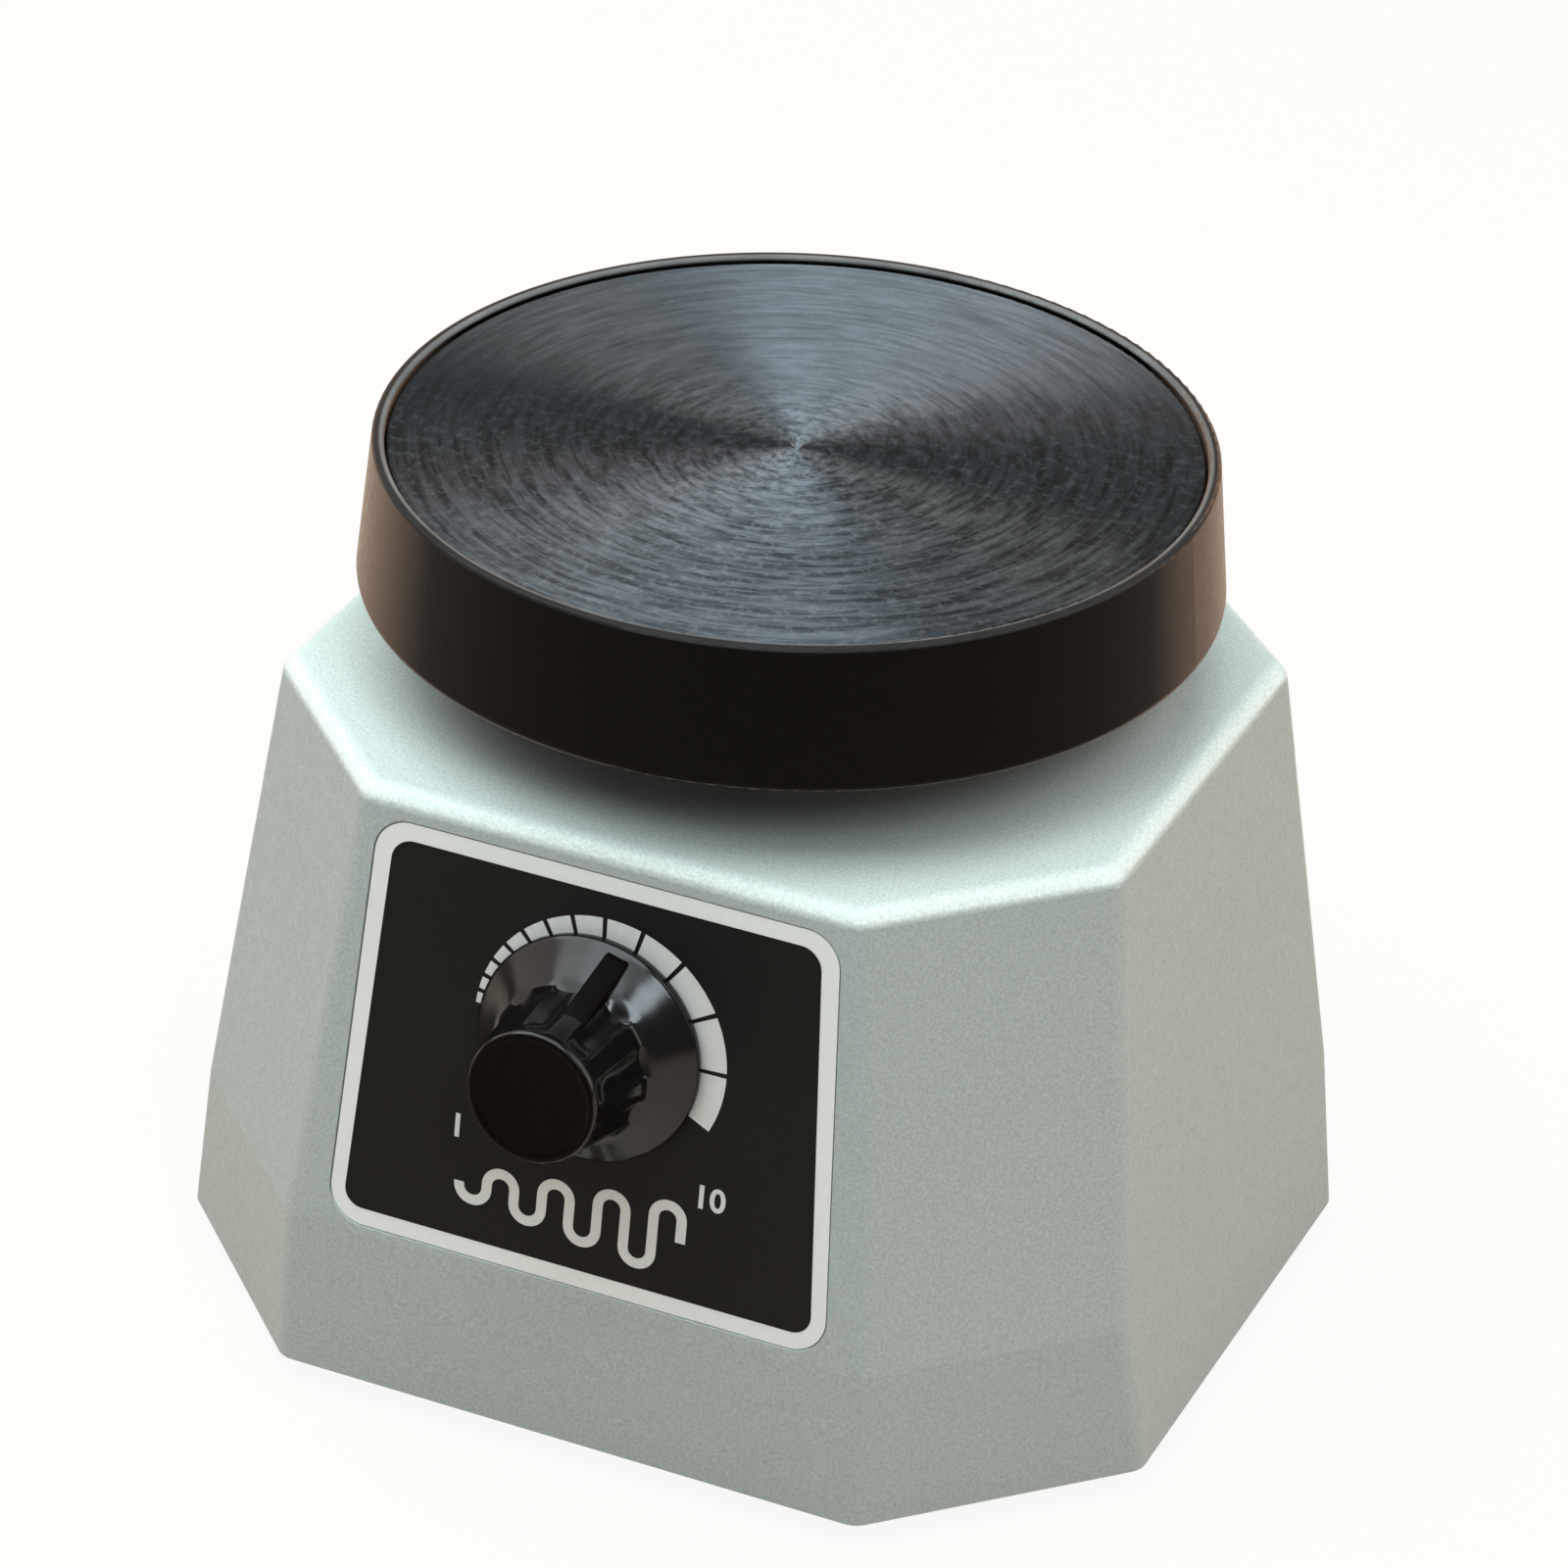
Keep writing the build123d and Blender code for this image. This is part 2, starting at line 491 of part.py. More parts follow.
with BuildPart() as knob:
    with BuildSketch(HALF_SECTION):
        with BuildLine():
            Polyline(
                (0, KNOB_LIFT),
                (SKIRT_RADIUS, KNOB_LIFT),
                (SKIRT_RADIUS, KNOB_LIFT + SKIRT_EDGE),
                (SKIRT_TOP_RADIUS, SKIRT_TOP),
                (GRIP_BASE_RADIUS, SKIRT_TOP),
                (GRIP_TOP_RADIUS, KNOB_TOP - KNOB_TOP_EDGE),
                (GRIP_TOP_RADIUS - KNOB_TOP_EDGE, KNOB_TOP),
                (0, KNOB_TOP),
                close=True,
            )
        make_face()
    revolve(axis=DIAL_AXIS)
    for flute in range(FLUTE_COUNT):
        flute_angle = 90 + (flute + 0.5) * 360 / FLUTE_COUNT
        for grip_radius, height in ((GRIP_BASE_RADIUS, SKIRT_TOP), (GRIP_TOP_RADIUS, KNOB_TOP)):
            with BuildSketch(KNOB_PLANE.offset(height)):
                with PolarLocations(grip_radius - FLUTE_BITE + FLUTE_RADIUS, 1, start_angle=flute_angle):
                    Circle(FLUTE_RADIUS)
        loft(ruled=True, mode=Mode.SUBTRACT)
    with BuildSketch(POINTER_PLANE):
        with BuildLine():
            Polyline(
                (0, KNOB_LIFT + SKIRT_EDGE),
                (POINTER_TIP, KNOB_LIFT + SKIRT_EDGE),
                (POINTER_TIP, KNOB_LIFT + SKIRT_EDGE + POINTER_TIP_HEIGHT),
                (GRIP_TOP_RADIUS, KNOB_LIFT + POINTER_ROOT_HEIGHT),
                (0, KNOB_LIFT + POINTER_ROOT_HEIGHT),
                close=True,
            )
        make_face()
    extrude(amount=POINTER_WIDTH / 2, both=True)
    bore(DIAL_PLANE.offset(KNOB_LIFT), [(0, 0)], KNOB_CAVITY_RADIUS, KNOB_CAVITY)
    bore(DIAL_PLANE.offset(CAVITY_TOP), [(0, 0)], INSERT_RADIUS, INSERT_LENGTH)
    bore(SCREW_PLANE, [(0, 0)], SET_SCREW_RADIUS, GRIP_BASE_RADIUS)

with BuildPart() as knob_insert:
    rod(DIAL_PLANE.offset(CAVITY_TOP), [(0, 0)], INSERT_RADIUS, INSERT_LENGTH)
    bore(DIAL_PLANE.offset(CAVITY_TOP), [(0, 0)], SHAFT_RADIUS, INSERT_LENGTH)
    bore(SCREW_PLANE, [(0, 0)], SET_SCREW_RADIUS, INSERT_RADIUS)

with BuildPart() as knob_set_screw:
    rod(SCREW_PLANE, [(0, 0)], SET_SCREW_RADIUS, SET_SCREW_LENGTH)
    with BuildSketch(SCREW_PLANE.offset(SET_SCREW_LENGTH)):
        Rectangle(2 * (SET_SCREW_RADIUS + SLOT_OVERRUN), SLOT_WIDTH)
    extrude(amount=-SLOT_DEPTH, mode=Mode.SUBTRACT)

# Table: a turned disc let into a moulded rim, carried by a stem
PLATE_RADIUS = RIM_TOP_RADIUS - RIM_LIP - PLATE_FIT
RIM_SLOPE = (RIM_BOTTOM_RADIUS - RIM_TOP_RADIUS) / RIM_HEIGHT
LEDGE_OUTSIDE = RIM_TOP_RADIUS + (TABLE_TOP - LEDGE_BOTTOM) * RIM_SLOPE
rim_screw_points = [Vector(RIM_SCREW_CIRCLE, 0).rotate(Axis.Z, 45 + 90 * n) for n in range(4)]
plate_screw_points = [Vector(PLATE_SCREW_CIRCLE, 0).rotate(Axis.Z, 90 + 120 * n) for n in range(3)]
stem_screw_points = [Vector(STEM_SCREW_CIRCLE, 0).rotate(Axis.Z, 45 + 90 * n) for n in range(4)]
armature_screw_points = [(-ARMATURE_SCREW_X, 0), (ARMATURE_SCREW_X, 0)]

with BuildPart() as table_plate:
    rod(at(PLATE_BOTTOM), [(0, 0)], PLATE_RADIUS, PLATE_THICKNESS)
    fillet(table_plate.faces().sort_by(Axis.Z)[-1].edges(), PLATE_EDGE)
    bore(at(PLATE_BOTTOM), plate_screw_points, M4_RADIUS, PLATE_THREAD_DEPTH)
    bore(at(PLATE_BOTTOM), rim_screw_points, M3_RADIUS, PLATE_THREAD_DEPTH)
    with BuildSketch(Plane.XZ):
        with BuildLine():
            Polyline(
                (0, PLATE_TOP - CENTRE_MARK_RADIUS),
                (CENTRE_MARK_RADIUS, PLATE_TOP),
                (0, PLATE_TOP),
                close=True,
            )
        make_face()
    revolve(axis=Axis.Z, mode=Mode.SUBTRACT)

with BuildPart() as table_rim:
    with BuildSketch(Plane.XZ) as rim_profile:
        with BuildLine():
            Polyline(
                (RIM_BOTTOM_RADIUS, TABLE_BOTTOM),
                (RIM_TOP_RADIUS, TABLE_TOP),
                (RIM_TOP_RADIUS - RIM_LIP, TABLE_TOP),
                (RIM_TOP_RADIUS - RIM_LIP, PLATE_BOTTOM),
                (RIM_LEDGE_RADIUS, PLATE_BOTTOM),
                (RIM_LEDGE_RADIUS, LEDGE_BOTTOM),
                (LEDGE_OUTSIDE - RIM_SKIRT_WALL, LEDGE_BOTTOM),
                (RIM_BOTTOM_RADIUS - RIM_SKIRT_WALL, TABLE_BOTTOM),
                close=True,
            )
        make_face()
        fillet(rim_profile.vertices().group_by(Axis.Y)[-1], RIM_EDGE)
        fillet(rim_profile.vertices().group_by(Axis.Y)[0], RIM_BOTTOM_EDGE)
    revolve(axis=Axis.Z)
    bore(at(LEDGE_BOTTOM), rim_screw_points, M3_RADIUS + SCREW_CLEARANCE, RIM_LEDGE)

with BuildPart() as rim_screws:
    rod(at(LEDGE_BOTTOM - M3_HEAD), rim_screw_points, M3_HEAD_RADIUS, M3_HEAD)
    rod(at(LEDGE_BOTTOM), rim_screw_points, M3_RADIUS, RIM_LEDGE + PLATE_THREAD_DEPTH)
    slot_heads(facing_down(LEDGE_BOTTOM - M3_HEAD), [(v.X, -v.Y) for v in rim_screw_points])

with BuildPart() as table_stem:
    rod(at(SPRING_PLATE_TOP), [(0, 0)], STEM_FOOT_RADIUS, STEM_FOOT)
    rod(at(STEM_FOOT_TOP), [(0, 0)], STEM_RADIUS, STEM_FLANGE_BOTTOM - STEM_FOOT_TOP)
    rod(at(STEM_FLANGE_BOTTOM), [(0, 0)], STEM_TOP_FLANGE_RADIUS, STEM_TOP_FLANGE)
    bore(at(SPRING_PLATE_TOP), stem_screw_points, M3_RADIUS, STEM_FOOT)
    bore(at(STEM_FLANGE_BOTTOM), plate_screw_points, M4_RADIUS, STEM_TOP_FLANGE)

with BuildPart() as plate_screws:
    rod(at(STEM_FLANGE_BOTTOM - M4_HEAD), plate_screw_points, M4_HEAD_RADIUS, M4_HEAD)
    rod(at(STEM_FLANGE_BOTTOM), plate_screw_points, M4_RADIUS, STEM_TOP_FLANGE + PLATE_THREAD_DEPTH)
    slot_heads(facing_down(STEM_FLANGE_BOTTOM - M4_HEAD), [(v.X, -v.Y) for v in plate_screw_points])

with BuildPart() as stem_screws:
    rod(at(STEM_FOOT_TOP), stem_screw_points, M3_HEAD_RADIUS, M3_HEAD)
    rod(at(SPRING_PLATE_BOTTOM), stem_screw_points, M3_RADIUS, STEM_FOOT_TOP - SPRING_PLATE_BOTTOM)
    slot_heads(at(STEM_FOOT_TOP + M3_HEAD), stem_screw_points)

# Spring plate: the moving crosshead between stem, armature and springs
with BuildPart() as spring_plate:
    with BuildSketch(at(SPRING_PLATE_BOTTOM)) as crosshead:
        Rectangle(SPRING_PLATE_WIDTH, SPRING_PLATE_DEPTH)
        fillet(crosshead.vertices(), SPRING_PLATE_CORNER)
    extrude(amount=SPRING_PLATE_THICKNESS)
    bore(at(SPRING_PLATE_BOTTOM), stem_screw_points, M3_RADIUS, SPRING_PLATE_THICKNESS)
    bore(at(SPRING_PLATE_BOTTOM), armature_screw_points, M4_RADIUS, SPRING_PLATE_THICKNESS)

with BuildPart() as armature:
    with BuildSketch(at(ARMATURE_BOTTOM)):
        Rectangle(CORE_WIDTH, CORE_STACK)
    extrude(amount=ARMATURE_THICKNESS)
    bore(at(ARMATURE_BOTTOM), armature_screw_points, M4_RADIUS, ARMATURE_THICKNESS)

with BuildPart() as armature_screws:
    rod(at(SPRING_PLATE_TOP), armature_screw_points, M4_HEAD_RADIUS, M4_HEAD)
    rod(at(ARMATURE_BOTTOM), armature_screw_points, M4_RADIUS, SPRING_PLATE_TOP - ARMATURE_BOTTOM)
    slot_heads(at(SPRING_PLATE_TOP + M4_HEAD), armature_screw_points)

with BuildPart() as upper_spring_cups:
    cup_top = SPRING_PLATE_BOTTOM - CUP_FLOOR - CUP_LIP
    rod(at(cup_top), corners(SPRING_X, SPRING_Y), CUP_RADIUS, CUP_FLOOR + CUP_LIP)
    bore(at(cup_top), corners(SPRING_X, SPRING_Y), CUP_RADIUS - CUP_WALL, CUP_LIP)

with BuildPart() as lower_spring_cups:
    rod(at(PILLAR_TOP), corners(SPRING_X, SPRING_Y), CUP_RADIUS, CUP_FLOOR + CUP_LIP)
    bore(at(SPRING_BOTTOM), corners(SPRING_X, SPRING_Y), CUP_RADIUS - CUP_WALL, CUP_LIP)
    bore(at(PILLAR_TOP), corners(SPRING_X, SPRING_Y), M4_RADIUS, CUP_FLOOR)

with BuildPart() as spring_pillars:
    hexagon(at(FLOOR), corners(SPRING_X, SPRING_Y), PILLAR_FLATS, PILLAR_HEIGHT)
    bore(at(FLOOR), corners(SPRING_X, SPRING_Y), M4_RADIUS, FASTENER_LENGTH)
    rod(at(PILLAR_TOP), corners(SPRING_X, SPRING_Y), M4_RADIUS, CUP_FLOOR + CUP_LIP)

with BuildPart() as pillar_screws:
    rod(facing_down(BASE_PLATE_BOTTOM), corners(SPRING_X, -SPRING_Y), M4_HEAD_RADIUS, M4_HEAD)
    rod(at(BASE_PLATE_BOTTOM), corners(SPRING_X, SPRING_Y), M4_RADIUS, FLOOR + FASTENER_LENGTH - BASE_PLATE_BOTTOM)
    slot_heads(facing_down(BASE_PLATE_BOTTOM - M4_HEAD), corners(SPRING_X, -SPRING_Y))

# Springs: ground flat where they meet their cups
springs = []
SPRING_RISE = SPRING_TOP - SPRING_BOTTOM - SPRING_WIRE + 2 * SPRING_GROUND
SPRING_START = SPRING_BOTTOM + SPRING_WIRE / 2 - SPRING_GROUND
SPRING_PITCH = SPRING_RISE / SPRING_TURNS
print("gap between spring turns", round(SPRING_PITCH - SPRING_WIRE, 2))
for x, y in corners(SPRING_X, SPRING_Y):
    with BuildPart() as spring:
        with BuildLine():
            coil = Helix(SPRING_PITCH, SPRING_RISE, SPRING_RADIUS, center=(x, y, SPRING_START))
        with BuildSketch(Plane(origin=coil @ 0, z_dir=coil % 0)):
            Circle(SPRING_WIRE / 2)
        sweep(is_frenet=True)
        for cut_plane, reach in ((at(SPRING_BOTTOM), -SPRING_WIRE), (at(SPRING_TOP), SPRING_WIRE)):
            with BuildSketch(cut_plane):
                with Locations((x, y)):
                    Circle(SPRING_RADIUS + SPRING_WIRE)
            extrude(amount=reach, mode=Mode.SUBTRACT)
    springs.append(spring)

# Electromagnet: an E core with its winding on the middle leg
CORE_HALF = CORE_WIDTH / 2
STACK_HALF = CORE_STACK / 2
YOKE_TOP = FLOOR + CORE_LEG
CORE_BOLT_X = CORE_HALF - CORE_LEG / 2
WINDOW_X = CORE_HALF - 3 * CORE_LEG / 2
CORE_BOLT_Z = FLOOR + BRACKET_THICKNESS + M3_NUT_FLATS / sqrt(3) + CORE_NUT_GAP
BOLT_FRONT = Plane(origin=(0, -STACK_HALF - BRACKET_THICKNESS, CORE_BOLT_Z), x_dir=(1, 0, 0), z_dir=(0, -1, 0))
BOLT_BACK = Plane(origin=(0, STACK_HALF + BRACKET_THICKNESS, CORE_BOLT_Z), x_dir=(-1, 0, 0), z_dir=(0, 1, 0))
bolt_points = [(-CORE_BOLT_X, 0), (CORE_BOLT_X, 0)]
BOLT_SPAN = CORE_STACK + 2 * BRACKET_THICKNESS

with BuildPart() as magnet_core:
    with BuildSketch(at(FLOOR)):
        Rectangle(CORE_WIDTH, CORE_STACK)
    extrude(amount=CORE_HEIGHT)
    with BuildSketch(at(YOKE_TOP)):
        with Locations((-WINDOW_X, 0), (WINDOW_X, 0)):
            Rectangle(CORE_LEG, CORE_STACK)
    extrude(amount=CORE_TOP - YOKE_TOP, mode=Mode.SUBTRACT)
    bore(BOLT_FRONT, bolt_points, M3_RADIUS, -BOLT_SPAN)

with BuildPart() as core_brackets:
    for side in (-1, 1):
        with BuildSketch(at(FLOOR)):
            with Locations((0, side * (STACK_HALF + BRACKET_FOOT / 2))):
                Rectangle(BRACKET_LENGTH, BRACKET_FOOT)
        extrude(amount=BRACKET_THICKNESS)
        with BuildSketch(at(FLOOR)):
            with Locations((0, side * (STACK_HALF + BRACKET_THICKNESS / 2))):
                Rectangle(BRACKET_LENGTH, BRACKET_THICKNESS)
        extrude(amount=BRACKET_HEIGHT)
    bore(BOLT_FRONT, bolt_points, M3_RADIUS, -BOLT_SPAN)
    bore(at(FLOOR), corners(BRACKET_SCREW_X, bracket_y), M4_RADIUS, BRACKET_THICKNESS)

with BuildPart() as core_bolts:
    rod(BOLT_FRONT, bolt_points, M3_HEAD_RADIUS, M3_HEAD)
    rod(BOLT_FRONT, bolt_points, M3_RADIUS, -BOLT_SPAN - M3_NUT)
    slot_heads(BOLT_FRONT.offset(M3_HEAD), bolt_points)

with BuildPart() as core_nuts:
    hexagon(BOLT_BACK, bolt_points, M3_NUT_FLATS, M3_NUT)
    bore(BOLT_BACK, bolt_points, M3_RADIUS, M3_NUT)

with BuildPart() as bracket_screws:
    bracket_screw_length = BASE_PLATE_THICKNESS + BRACKET_THICKNESS
    rod(facing_down(BASE_PLATE_BOTTOM), corners(BRACKET_SCREW_X, -bracket_y), M4_HEAD_RADIUS, M4_HEAD)
    rod(at(BASE_PLATE_BOTTOM), corners(BRACKET_SCREW_X, bracket_y), M4_RADIUS, bracket_screw_length)
    slot_heads(facing_down(BASE_PLATE_BOTTOM - M4_HEAD), corners(BRACKET_SCREW_X, -bracket_y))

SPOOL_X = CORE_LEG + BOBBIN_CLEARANCE
SPOOL_Y = STACK_HALF + BOBBIN_CLEARANCE
SPOOL_BOTTOM = YOKE_TOP + BOBBIN_CLEARANCE
SPOOL_HEIGHT = CORE_TOP - BOBBIN_CLEARANCE - SPOOL_BOTTOM
SPOOL_FLANGE = 2 * CORE_LEG - BOBBIN_CLEARANCE - SPOOL_X
with BuildPart() as coil_bobbin:
    for start, height, reach in (
        (SPOOL_BOTTOM, SPOOL_HEIGHT, BOBBIN_WALL),
        (SPOOL_BOTTOM, BOBBIN_WALL, SPOOL_FLANGE),
        (SPOOL_BOTTOM + SPOOL_HEIGHT - BOBBIN_WALL, BOBBIN_WALL, SPOOL_FLANGE),
    ):
        with BuildSketch(at(start)):
            Rectangle(2 * (SPOOL_X + reach), 2 * (SPOOL_Y + reach))
        extrude(amount=height)
    with BuildSketch(at(SPOOL_BOTTOM)):
        Rectangle(2 * SPOOL_X, 2 * SPOOL_Y)
    extrude(amount=SPOOL_HEIGHT, mode=Mode.SUBTRACT)

WINDING_BOTTOM = SPOOL_BOTTOM + BOBBIN_WALL
WINDING_FRONT = -(SPOOL_Y + BOBBIN_WALL + COIL_WALL)
with BuildPart() as coil_winding:
    with BuildSketch(at(WINDING_BOTTOM)) as turns:
        Rectangle(2 * (SPOOL_X + BOBBIN_WALL + COIL_WALL), -2 * WINDING_FRONT)
        fillet(turns.vertices(), COIL_WALL / 2)
        Rectangle(2 * (SPOOL_X + BOBBIN_WALL), 2 * (SPOOL_Y + BOBBIN_WALL), mode=Mode.SUBTRACT)
    extrude(amount=SPOOL_HEIGHT - 2 * BOBBIN_WALL)

# Dust boot: a rubber bellows from the housing's top hole to the stem
BOOT_COLLAR_TOP = STEM_FLANGE_BOTTOM - BOOT_TOP_GAP
BOOT_COLLAR_BOTTOM = BOOT_COLLAR_TOP - BOOT_COLLAR_HEIGHT
BOOT_INSIDE = STEM_RADIUS + BOOT_FIT
BOOT_SPIGOT_RADIUS = TOP_HOLE_RADIUS - BOOT_FIT
with BuildPart() as dust_boot:
    rod(at(TOP_Z), [(0, 0)], BOOT_FLANGE_RADIUS, BOOT_SKIN)
    rod(at(ROOF_Z), [(0, 0)], BOOT_SPIGOT_RADIUS, ROOF)
    bore(at(ROOF_Z), [(0, 0)], BOOT_SPIGOT_RADIUS - BOOT_SPIGOT_WALL, ROOF + BOOT_SKIN)
    with BuildSketch(Plane.XZ):
        with BuildLine():
            fold_start = BOOT_SPIGOT_RADIUS - BOOT_SPIGOT_WALL / 2
            fold_end = BOOT_INSIDE + BOOT_COLLAR_WALL / 2
            fold_step = (fold_start - fold_end) / (len(FOLD_RISES) - 1)
            fold_base = TOP_Z + BOOT_SKIN / 2
            fold_height = BOOT_COLLAR_BOTTOM + BOOT_SKIN - fold_base
            Polyline(
                *[
                    (fold_start - fold * fold_step, fold_base + rise * fold_height)
                    for fold, rise in enumerate(FOLD_RISES)
                ]
            )
        trace(line_width=BOOT_SKIN)
    revolve(axis=Axis.Z)
    rod(at(BOOT_COLLAR_BOTTOM), [(0, 0)], BOOT_INSIDE + BOOT_COLLAR_WALL, BOOT_COLLAR_HEIGHT)
    bore(at(BOOT_COLLAR_BOTTOM - BOOT_SKIN), [(0, 0)], BOOT_INSIDE, BOOT_COLLAR_HEIGHT + BOOT_SKIN)

# Circuit board on snap-in standoffs, in front of the magnet
with BuildPart() as circuit_board:
    with BuildSketch(at(BOARD_BOTTOM)):
        with Locations((0, BOARD_Y)):
            Rectangle(BOARD_WIDTH, BOARD_DEPTH)
    extrude(amount=BOARD_THICKNESS)
    bore(at(BOARD_BOTTOM), standoff_points, STANDOFF_PIN_RADIUS, BOARD_THICKNESS)

with BuildPart() as board_standoffs:
    rod(at(FLOOR), standoff_points, STANDOFF_RADIUS, STANDOFF_HEIGHT)
    pin_bottom = BASE_PLATE_BOTTOM
    pin_top = BOARD_TOP + STANDOFF_PIN
    rod(at(pin_bottom), standoff_points, STANDOFF_PIN_RADIUS, pin_top - pin_bottom)

with BuildPart() as triac:
    with BuildSketch(at(BOARD_TOP + TRIAC_LEG)):
        with Locations((TRIAC_X, BOARD_Y)):
            Rectangle(TRIAC_WIDTH, TRIAC_DEPTH)
    extrude(amount=TRIAC_HEIGHT)
    with BuildSketch(at(BOARD_TOP)):
        with Locations(*[(TRIAC_X + step * TRIAC_LEG_PITCH, BOARD_Y) for step in (-1, 0, 1)]):
            Rectangle(TRIAC_LEG_WIDTH, TRIAC_LEG_THICKNESS)
    extrude(amount=TRIAC_LEG)

with BuildPart() as heat_sink:
    sink_front = BOARD_Y + TRIAC_DEPTH / 2
    with BuildSketch(at(BOARD_TOP)):
        with Locations((TRIAC_X, sink_front + SINK_WALL / 2)):
            Rectangle(SINK_WIDTH, SINK_WALL)
        sink_side = (SINK_WIDTH - SINK_WALL) / 2
        with Locations(*[(TRIAC_X + side * sink_side, sink_front + SINK_FIN / 2) for side in (-1, 1)]):
            Rectangle(SINK_WALL, SINK_FIN)
    extrude(amount=SINK_HEIGHT)

with BuildPart() as suppressor_capacitor:
    with BuildSketch(at(BOARD_TOP)):
        with Locations((CAPACITOR_X, BOARD_Y)):
            Rectangle(CAPACITOR_WIDTH, CAPACITOR_DEPTH)
    extrude(amount=CAPACITOR_HEIGHT)
    fillet(suppressor_capacitor.faces().sort_by(Axis.Z)[-1].edges(), CAPACITOR_EDGE)

with BuildPart() as resistors:
    resistor_end = Vector(RESISTOR_X, BOARD_Y, BOARD_TOP + RESISTOR_RADIUS)
    resistor_plane = Plane(origin=resistor_end, x_dir=(0, 1, 0), z_dir=(1, 0, 0))
    rod(resistor_plane, [(step * RESISTOR_PITCH, 0) for step in (-1, 0, 1)], RESISTOR_RADIUS, RESISTOR_LENGTH)

with BuildPart() as terminal_block:
    with BuildSketch(at(BOARD_TOP)):
        with Locations((BLOCK_X, BOARD_Y)):
            Rectangle(BLOCK_WIDTH, BLOCK_DEPTH)
    extrude(amount=BLOCK_HEIGHT)
    way_pitch = BLOCK_WIDTH / BLOCK_WAYS
    way_points = [(BLOCK_X + (way - (BLOCK_WAYS - 1) / 2) * way_pitch, BOARD_Y) for way in range(BLOCK_WAYS)]
    bore(at(BOARD_TOP + BLOCK_HEIGHT - SLOT_DEPTH), way_points, M3_RADIUS, SLOT_DEPTH)

# Leads: from the winding to the terminal block, and from the speed control to the board
BLOCK_BACK = BOARD_Y + BLOCK_DEPTH / 2
with BuildPart() as coil_leads:
    for lead, (way_x, _) in enumerate(way_points[:2]):
        start_x = lead * LEAD_GAP
        start_z = CORE_TOP - CORE_LEG
        lead_y = WINDING_FRONT - LEAD_DROP - (1 - lead) * LEAD_GAP
        with BuildLine():
            lead_path = FilletPolyline(
                (start_x, WINDING_FRONT, start_z),
                (start_x, lead_y, start_z),
                (way_x, lead_y, BOARD_TOP + BLOCK_HEIGHT / 2),
                (way_x, BLOCK_BACK, BOARD_TOP + BLOCK_HEIGHT / 2),
                radius=COIL_LEAD_BEND,
            )
        with BuildSketch(Plane(origin=lead_path @ 0, z_dir=lead_path % 0)):
            Circle(LEAD_RADIUS)
        sweep()

with BuildPart() as pot_leads:
    for step in (-1, 0, 1):
        tip_z = POT_BACK + POT_SHELL + TERMINAL_THICKNESS / 2
        tip = DIAL_PLANE.from_local_coords(Vector(step * TERMINAL_PITCH, -POT_RADIUS - TERMINAL_LENGTH, tip_z))
        board_spot = Vector(tip.X, BOARD_Y - BOARD_DEPTH / 2 + LEAD_GAP, BOARD_TOP)
        with BuildLine():
            lead_path = FilletPolyline(
                tip,
                tip - DIAL_PLANE.y_dir * LEAD_DROP,
                board_spot + Vector(0, 0, LEAD_DROP),
                board_spot,
                radius=POT_LEAD_BEND,
            )
        with BuildSketch(Plane(origin=lead_path @ 0, z_dir=lead_path % 0)):
            Circle(LEAD_RADIUS)
        sweep()

# Cable gland in the middle of the back, and the earth point beside it
GLAND_START = GLAND_INNER_Y - GLAND_LOCK_NUT - GLAND_TAIL
BORE_START = GLAND_PAD_Y + GLAND_STEP
FLANGE_END = GLAND_PAD_Y + GLAND_FLANGE
NECK_END = FLANGE_END + GLAND_NECK
SEAL_END = NECK_END + GLAND_SEAL

with BuildPart() as gland_body:
    rod(gland_at(GLAND_START), [(0, 0)], GLAND_THREAD_RADIUS, GLAND_PAD_Y - GLAND_START)
    hexagon(gland_at(GLAND_PAD_Y), [(0, 0)], GLAND_FLATS, GLAND_FLANGE)
    rod(gland_at(FLANGE_END), [(0, 0)], GLAND_NECK_RADIUS, GLAND_NECK)
    bore(gland_at(GLAND_START), [(0, 0)], GLAND_TAIL_BORE_RADIUS, BORE_START - GLAND_START)
    bore(gland_at(BORE_START), [(0, 0)], GLAND_BORE_RADIUS, NECK_END - BORE_START)

with BuildPart() as gland_seal:
    rod(gland_at(NECK_END), [(0, 0)], GLAND_NECK_RADIUS, GLAND_SEAL)
    bore(gland_at(NECK_END), [(0, 0)], GLAND_BORE_RADIUS, GLAND_SEAL)

with BuildPart() as gland_dome_nut:
    rod(gland_at(FLANGE_END), [(0, 0)], GLAND_NUT_RADIUS, GLAND_NUT_LENGTH)
    fillet(gland_dome_nut.faces().sort_by(Axis.Y)[-1].edges(), GLAND_NUT_EDGE)
    rib_points = [Vector(GLAND_NUT_RADIUS, 0).rotate(Axis.Z, n * 360 / GLAND_NUT_RIBS) for n in range(GLAND_NUT_RIBS)]
    bore(gland_at(FLANGE_END), rib_points, GLAND_RIB_RADIUS, GLAND_NUT_LENGTH)
    bore(gland_at(FLANGE_END), [(0, 0)], GLAND_NECK_RADIUS, SEAL_END - FLANGE_END)
    bore(gland_at(FLANGE_END), [(0, 0)], GLAND_BORE_RADIUS + GLAND_NUT_FIT, GLAND_NUT_LENGTH)

with BuildPart() as gland_lock_nut:
    hexagon(gland_at(GLAND_INNER_Y), [(0, 0)], GLAND_LOCK_FLATS, -GLAND_LOCK_NUT)
    bore(gland_at(GLAND_INNER_Y), [(0, 0)], GLAND_THREAD_RADIUS, -GLAND_LOCK_NUT)

